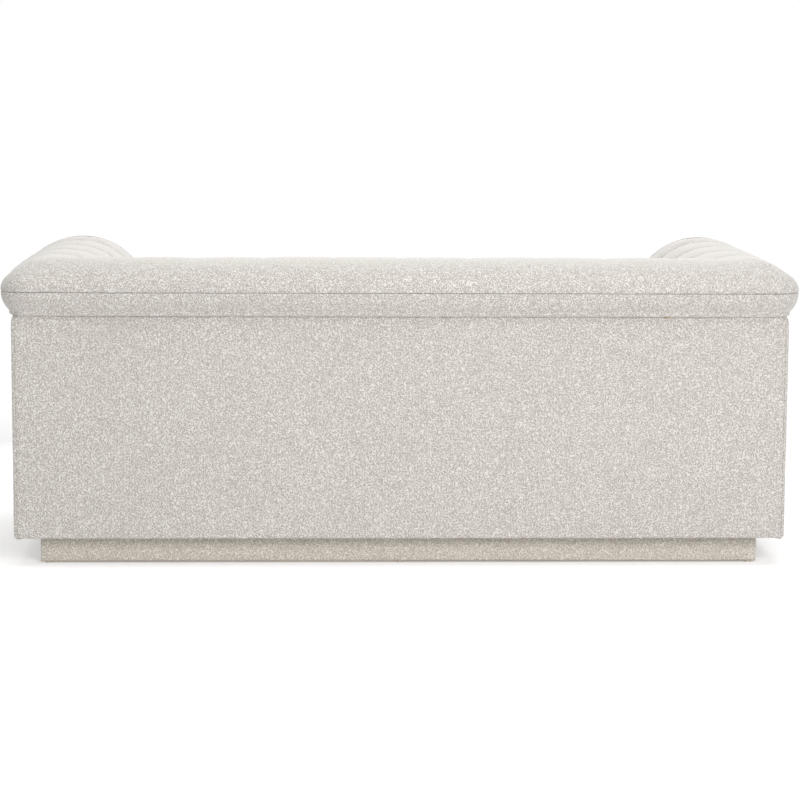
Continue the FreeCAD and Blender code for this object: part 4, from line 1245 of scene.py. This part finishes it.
@dataclass
class OutsideCovers:
    """Covers stretched over the outside of the box, folded under its lower edge."""

    section: Section
    cover: bpy.types.Material
    hem: float = 0.060
    fold: float = 0.005
    corner: float = 0.008
    corner_fold: float = 0.007
    tuck: float = 0.004
    thickness: float = 0.003
    spacing: float = 0.03
    recess: tuple[tuple[float, float], ...] = (
        (0.0008, 0.014), (0.0018, 0.010), (0.0026, 0.006), (0.0029, 0.0), (0.0029, -0.006)
    )

    def profile(self, fold: float) -> list[tuple[float, float]]:
        """Offset and height of the rows, from the hem's inner edge to the top."""
        section = self.section
        low = section.box_bottom
        rows = [(-self.hem, low), (-self.hem * 0.6, low), (-max(fold, 0.012), low)]
        for step in range(5):
            angle = QUARTER * step / 4
            rows.append((-fold + fold * math.sin(angle), low + fold - fold * math.cos(angle)))
        for height in evenly(low + 0.03, section.seam_z - 0.018, self.spacing):
            rows.append((0.0, height))
        return rows + [(-inward, section.seam_z - below) for inward, below in self.recess]

    def radius(self, offset: float, height: float) -> float:
        """Round of the rear corners: sharp on the panels, wider under the band."""
        wide = (self.section.corner_round - self.corner) * ease(height, 0.6475, 0.6535)
        return max(self.corner + wide + offset, 0.0005)

    def point(self, route: Route, column: int, row: int) -> Point:
        """A point of the cover at a column of the route."""
        section = self.section
        x, y = route.at(column, 0.0, self.corner)
        off = math.hypot(section.panel_x - abs(x), section.panel_y - y)
        near = 1 - ease(off, 0.005, 0.03)
        fold = self.fold + (self.corner_fold - self.fold) * near
        offset, height = self.profile(fold)[row]
        x, y = route.at(column, offset, self.radius(offset, height))
        slack = 0.0007 * drift(x, y, height, 2.0) * ease(height, 0.08, 0.2) * (1 - near)
        return (x, y + slack if y > section.panel_y - 0.01 else y, height)

    def side(self, side: Side) -> None:
        """Build a side cover that wraps round the rear corner to the crease.

        Args:
            side: which arm.
        """
        section = self.section
        route = Route(section, section.front_y + 0.003, self.spacing, 8)
        last = route.arm_steps + route.fan
        rows = len(self.profile(self.fold)) - 1

        def place(column: int, row: int) -> Point:
            x, y, z = self.point(route, min(column, last), row)
            if column > last:
                y -= self.tuck * (0.35 if column == last + 1 else 1.0)
                x -= 0.0004 * (column - last)
            return (side.value * x, y, z)

        outward = (side.value, 0.0, 0.0)
        piece = laid_cloth(f"outside_{side.word}", last + 2, rows, place, outward, self.thickness)
        self.finish(piece, section.panel_y - section.front_y)
        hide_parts(f"outside_{side.word}_cover")

    def back(self) -> None:
        """Build the rear cover between the two creases."""
        section = self.section
        route = Route(section, section.front_y, self.spacing, 8)
        first = route.arm_steps + route.fan
        steps = route.back_steps
        rows = len(self.profile(self.fold)) - 1

        def place(column: int, row: int) -> Point:
            inner = min(max(column - 2, 0), steps)
            x, y, z = self.point(route, first + inner, row)
            outside = max(2 - column, column - steps - 2, 0)
            if outside:
                y -= self.tuck * (0.35 if outside == 1 else 1.0)
            inward = max(0.0012 - 0.0006 * outside, 0.0)
            return (x - math.copysign(inward, x), y, z)

        piece = laid_cloth("outside_back", steps + 4, rows, place, BACKWARD, self.thickness)
        self.finish(piece, 2 * section.panel_x)
        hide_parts("outside_back_cover")

    def finish(self, piece: Piece, run: float) -> None:
        """Dress a cover.

        Args:
            piece: the cover.
            run: its length along the sofa; not used.
        """
        dress(piece, self.cover)

    def build(self) -> None:
        """Build the three covers."""
        for side in Side:
            self.side(side)
        self.back()


@dataclass
class ArmFacings:
    """Padded front ends of the arms, cut to the section."""

    section: Section
    cover: bpy.types.Material
    depth: float = 0.004
    thickness: float = 0.002
    middle: tuple[float, float] = (0.147, 0.60)
    insets: tuple[float, ...] = (1.0, 0.995, 0.982, 0.955, 0.9, 0.8, 0.65, 0.45, 0.2, 0.0)
    swell: tuple[float, ...] = (0.0, 22.0, 36.0, 44.0, 52.0, 60.0, 64.0, 66.0, 67.0, 67.0)

    def outline(self, band: LowerBand) -> list[tuple[float, float]]:
        """Distance across and height of the outline, once round."""
        section = self.section
        line = RollLine(section, 0.0)
        low, inner = section.box_bottom, section.inside_x
        points = [(section.panel_x, height) for height in evenly(low, section.seam_z - 0.008, 0.03)]
        points += [(section.panel_x + offset, height) for offset, height in band.profile()[3:-2]]
        for along in evenly(0.0, line.length, 0.014):
            offset, height = line.at(along)[:2]
            points.append((section.panel_x + offset, height))
        points += [(inner, height) for height in evenly(section.deck_z - 0.02, low, 0.03)]
        points += [(x, low) for x in evenly(inner, section.panel_x, 0.03)[1:]]
        return points

    def build(self, band: LowerBand) -> None:
        """Build both facings.

        Args:
            band: the lower band, whose end the facing closes.
        """
        section = self.section
        points = self.outline(band)
        centre = (section.panel_x - self.middle[0], self.middle[1])
        for side in Side:
            def place(column: int, row: int, side: Side = side) -> Point:
                x, z = points[column % len(points)]
                share = self.insets[row]
                across = centre[0] + (x - centre[0]) * share
                y = section.arm_start_y - self.swell[row] / self.swell[-1] * self.depth
                return (side.value * across, y, centre[1] + (z - centre[1]) * share)

            name, rings = f"{side.word}_arm_front", len(self.insets) - 1
            piece = laid_cloth(name, len(points), rings, place, FORWARD, self.thickness)
            dress(piece, self.cover)
            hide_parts(f"{side.word}_arm_facing")


@dataclass
class SeatDeck:
    """Front border, deck pad, dust cover and webbing: the cloths round the seat frame."""

    section: Section
    cover: bpy.types.Material
    deck_cloth: bpy.types.Material
    dust_cloth: bpy.types.Material
    strap_cloth: bpy.types.Material
    border_y: float = -0.473
    border_top: float = 0.312
    border_round: tuple[float, float] = (0.022, 0.042)
    border_thickness: float = 0.003
    hem: float = 0.048
    deck_back: float = 0.1185
    deck_height: float = 0.309
    deck_rise: float = 0.0018
    deck_thickness: float = 0.008
    dust_sag: float = 0.0012
    dust_thickness: float = 0.0006
    strap_count: int = 3
    strap_size: tuple[float, float] = (0.050, 0.0025)
    strap_first: float = 0.400
    strap_pitch: float = 0.080
    strap_depth: float = 0.048

    def border(self) -> None:
        """Build the front border, rolled over the front edge of the deck."""
        section = self.section
        low, face, top = section.box_bottom, self.border_y, self.border_top
        across, up = self.border_round
        bend = top - up
        rows = [(face + inward, low) for inward in (self.hem, 0.03, 0.006)]
        rows += [(face + 0.0015, low + 0.0012), (face, low + 0.006)]
        rows += [(face, height) for height in evenly(low + 0.03, bend, 0.024)]
        for step in range(1, 7):
            angle = QUARTER * step / 6
            rows.append((face + across * (1 - math.cos(angle)), bend + up * math.sin(angle)))
        rows += [(face + 0.045, top - 0.0015), (face + 0.07, top - 0.004)]
        reach = section.inside_x - 0.001
        columns = 56

        def place(column: int, row: int) -> Point:
            x = reach * (2 * column / columns - 1)
            y, z = rows[row]
            return (x, y + WANDER * drift(x, y, z, 4.0), z)

        size = (columns, len(rows) - 1)
        piece = laid_cloth("front_border", *size, place, FORWARD, self.border_thickness)
        dress(piece, self.cover)
        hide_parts("front_border_cover")
        run = sum(math.dist(a, b) for a, b in zip(rows, rows[1:]))

    def deck(self) -> None:
        """Build the deck pad, stitched through at a few places."""
        section = self.section
        reach, front, back = section.inside_x - 0.002, self.border_y + 0.074, self.deck_back
        columns, rows = 60, 24

        def place(column: int, row: int) -> Point:
            x = reach * (2 * column / columns - 1)
            y = front + (back - front) * row / rows
            edge = min(column, columns - column, row, rows - row)
            crossing = abs(math.sin(4 * math.pi * column / columns) * math.sin(2 * math.pi * row / rows))
            height = self.deck_height + self.deck_rise * min(crossing * 2, 1.0)
            height -= 0.003 if edge == 0 else 0.0
            return (x, y, height)

        piece = laid_cloth("deck_pad_cloth", columns, rows, place, UP, self.deck_thickness)
        dress(piece, self.deck_cloth)
        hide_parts("deck_pad")

    def dust_sheet(self) -> None:
        """Build the dust cover, tacked under the seat frame."""
        low, high = (Vector(corner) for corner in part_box("dust_cover"))
        size = high - low
        columns, rows = 48, 22

        def place(column: int, row: int) -> Point:
            across, along = column / columns, row / rows
            edge = min(across, 1 - across, along, 1 - along)
            wave = 0.6 + 0.4 * math.sin(9 * across) * math.cos(7 * along)
            sag = self.dust_sag * min(edge / 0.06, 1.0) * wave
            return (low.x + size.x * across, low.y + size.y * along, high.z - sag)

        piece = laid_cloth("dust_sheet", columns, rows, place, DOWN, self.dust_thickness, 0)
        dress(piece, self.dust_cloth)
        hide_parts("dust_cover")

    def straps(self) -> None:
        """Build the elastic straps across the back ribs."""
        line = RollLine(self.section, BACK_RAKE)
        low, high = (Vector(corner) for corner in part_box("back_webbing"))
        width, thickness = self.strap_size
        straps = []
        for number in range(self.strap_count):
            height = self.strap_first + self.strap_pitch * number
            along = line.round_end + (line.at(line.round_end)[1] - height) / math.cos(line.rake)
            y = self.section.panel_y + line.at(along)[0] + self.strap_depth / math.cos(line.rake)
            columns, rows = 60, 6

            def place(column: int, row: int, y: float = y, height: float = height) -> Point:
                share = column / columns
                up = width * (row / rows - 0.5)
                ripple = 0.0006 * math.sin(3 * math.pi * share) ** 2
                x = low.x + (high.x - low.x) * share
                return (x, y + up * math.sin(line.rake) - ripple, height + up * math.cos(line.rake))

            straps.append(laid_cloth("strap", columns, rows, place, FORWARD, thickness, 0))
        piece = joined("back_straps", straps)
        dress(piece, self.strap_cloth)
        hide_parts("back_webbing")

    def build(self) -> None:
        """Build the four cloths."""
        self.border()
        self.deck()
        self.dust_sheet()
        self.straps()


@dataclass
class PlinthCover:
    """Cloth band stretched round the plinth."""

    section: Section
    cover: bpy.types.Material
    corner: float = 0.006
    thickness: float = 0.002

    def build(self) -> None:
        """Build the band, folded in at its lower edge."""
        low, high = (Vector(corner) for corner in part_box("plinth_cover"))
        fold = 0.0035
        rows = [(-0.010, low.z), (-fold, low.z), (-fold * 0.3, low.z + fold * 0.3), (0.0, low.z + fold)]
        rows += [(0.0, height) for height in evenly(low.z + 0.012, high.z - 0.001, 0.012)]
        x_half = (high.x - low.x) / 2
        fan, x_steps, y_steps = 6, 60, 26
        half_round = fan + x_steps + fan + y_steps

        def ring(column: int, offset: float) -> tuple[float, float]:
            radius = max(self.corner + offset, 0.0005)
            corners = [
                (x_half + offset - radius, high.y + offset - radius, 0.0),
                (-x_half - offset + radius, high.y + offset - radius, QUARTER),
                (-x_half - offset + radius, low.y - offset + radius, math.pi),
                (x_half + offset - radius, low.y - offset + radius, 1.5 * math.pi),
            ]
            spans = [fan, x_steps, fan, y_steps] * 2
            number = column % (2 * half_round)
            index = 0
            while number >= spans[index]:
                number -= spans[index]
                index += 1
            x, y, start = corners[(index // 2) % 4]
            if index % 2 == 0:
                angle = start + QUARTER * number / fan
                return x + radius * math.cos(angle), y + radius * math.sin(angle)
            begin = (x + radius * math.cos(start + QUARTER), y + radius * math.sin(start + QUARTER))
            next_x, next_y, next_start = corners[(index // 2 + 1) % 4]
            end = (next_x + radius * math.cos(next_start), next_y + radius * math.sin(next_start))
            share = number / spans[index]
            return begin[0] + (end[0] - begin[0]) * share, begin[1] + (end[1] - begin[1]) * share

        def place(column: int, row: int) -> Point:
            offset, height = rows[row]
            x, y = ring(column, offset)
            return (x, y, height)

        size = (2 * half_round, len(rows) - 1)
        piece = laid_cloth("plinth_band", *size, place, BACKWARD, self.thickness)
        dress(piece, self.cover)
        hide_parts("plinth_cover")


@dataclass
class SeatCushion:
    """A loose cushion: boxed cover with a crowned top over its foam."""

    side: Side
    cover: bpy.types.Material
    corner: float = 0.042
    crown: float = 0.014
    draw: float = 0.009
    reach: float = 0.162
    square: float = 0.0125
    bulge_share: float = 0.75
    crown_spare: float = 0.004
    under_rise: float = 0.006
    under_reach: float = 0.036
    stitch: float = 0.0005
    cloth: Cloth = Cloth(pressure=4.0, spare=0.02, cap=0.009, stiffness=18.0)

    def shape(self, point: Vector, low: Vector, high: Vector) -> tuple[Point, bool]:
        """Where a point of the divided box ends, and whether a seam holds it.

        Args:
            point: the point on the box.
            low: the cushion's lowest corner.
            high: its highest corner.

        Returns:
            The place, and whether it is sewn or lies on the deck.
        """
        centre = (low + high) / 2
        half = (high - low) / 2
        seam_top = high.z - self.crown
        share = (point.z - low.z) / (high.z - low.z)
        on_top, on_bottom = share > 0.999, share < 0.001
        bulge = 0.0
        if not (on_top or on_bottom):
            bulge = self.draw * math.sin(math.pi * share) ** 0.7 * self.bulge_share
        across = Vector((point.x - centre.x, point.y - centre.y))
        fit = [(half[axis] - self.draw) / half[axis] for axis in (0, 1)]
        across = Vector((across.x * fit[0], across.y * fit[1]))
        limit = [half[axis] - self.draw - self.corner for axis in (0, 1)]
        inner = Vector([max(-limit[axis], min(limit[axis], across[axis])) for axis in (0, 1)])
        out = across - inner
        span = max(abs(out.x), abs(out.y))
        if out.length > TINY:
            out = out.normalized() * (span + bulge)
        edge = self.corner - span if out.length > TINY else self.corner + min(
            limit[0] - abs(across.x), limit[1] - abs(across.y)
        )
        height = low.z + (seam_top - low.z) * share
        if on_top:
            height += (self.crown - self.crown_spare) * valley_rise(edge, self.reach)
        if on_bottom:
            height += self.under_rise * (1 - valley_rise(edge, self.under_reach))
        held = (on_top or on_bottom) and edge < self.stitch
        return (centre.x + inner.x + out.x, centre.y + inner.y + out.y, height), held or on_bottom

    def build(self) -> None:
        """Build the cushion and lay it on the deck."""
        word = self.side.word
        low, high = (Vector(corner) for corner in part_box(f"{word}_cushion_cover"))
        piece = box_piece(f"{word}_seat_cushion", low, high)
        for axis in range(3):
            cuts = round((high[axis] - low[axis]) / self.square) - 1
            edit_select(piece, lambda a, b, axis=axis: abs(a[axis] - b[axis]) > 0.1)
            bpy.ops.mesh.subdivide(number_cuts=cuts)
            bpy.ops.object.mode_set(mode="OBJECT")
        held = []
        for vertex in piece.data.vertices:
            vertex.co, sewn = self.shape(vertex.co.copy(), low, high)
            if sewn:
                held.append(vertex.index)
        piece.data.update()
        edit_whole(piece, face_outward)
        self.cloth.swell(piece, held, lambda point: 1.0)
        for vertex in piece.data.vertices:
            for axis in range(3):
                vertex.co[axis] = min(max(vertex.co[axis], low[axis]), high[axis])
        smoothed(piece)
        body = Body.LEFT_CUSHION if self.side is Side.LEFT else Body.RIGHT_CUSHION
        dress(piece, self.cover, body=body)
        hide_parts(f"{word}_cushion_cover", f"{word}_cushion_core")


def valley_rise(distance: float, reach: float) -> float:
    """Rise from 0 at an edge to 1 at its reach, on an elliptical crown."""
    share = min(max(distance / reach, 0.0), 1.0)
    return math.sqrt(max(1 - (1 - share) ** 2, 0.0))


# ---- frame


@dataclass
class FrameFinishes:
    """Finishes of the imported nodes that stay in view: boards, panels, springs and glides."""

    steel_nodes: tuple[str, ...] = ("plinth_bolts", "seat_springs", "spring_clips", "spring_ties")
    panel_nodes: tuple[str, ...] = ("back_roll_skin", "left_arm_skin", "right_arm_skin")

    def build(self) -> None:
        """Make the finishes and assign them to the nodes."""
        steel = Plain("spring_steel", (128, 130, 133), 0.34, metal=1.0, specks=900.0).build()
        panel = Plain("card_panel", (178, 146, 108), 0.85, specks=260.0).build()
        glide = Plain("glide_nylon", (206, 200, 190), 0.5, specks=700.0).build()
        grains = [
            Grained(f"frame_board_{name}", stretch=stretch).build()
            for name, stretch in (("x", (1.5, 30, 30)), ("y", (30, 1.5, 30)), ("z", (30, 30, 1.5)))
        ]
        for name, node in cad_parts.items():
            low, high = (Vector(corner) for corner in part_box(name))
            size = high - low
            if name in self.steel_nodes:
                finish = steel
            elif name in self.panel_nodes:
                finish = panel
            elif name == "glides":
                finish = glide
            elif name in ("back_ribs", "rear_corner_posts") or name.endswith("_rib"):
                finish = grains[2]
            else:
                finish = grains[0] if size.x > size.y else grains[1]
            node.data.materials.clear()
            node.data.materials.append(finish)


# ---- main


def main() -> None:
    """Build the studio and every sub-assembly in order."""
    section = Section()
    Studio().build()
    FrameFinishes().build()
    cover = LoopedYarn().build()
    plinth_cover = LoopedYarn(name="looped_plinth", ground=(194, 186, 175), loop=(238, 232, 222)).build()
    deck_cloth = Woven("deck_cloth", (214, 206, 192)).build()
    dust_cloth = Woven("dust_cloth", (44, 43, 43), threads_per_metre=1400.0).build()
    strap_cloth = Woven("strap_cloth", (196, 178, 150), threads_per_metre=600.0).build()
    ChannelledRoll(section, cover).build()
    band = LowerBand(section, cover)
    band.build()
    OutsideCovers(section, cover).build()
    ArmFacings(section, cover).build(band)
    SeatDeck(section, cover, deck_cloth, dust_cloth, strap_cloth).build()
    PlinthCover(section, plinth_cover).build()
    for side in Side:
        SeatCushion(side, cover).build()


if __name__ == "__main__":
    main()
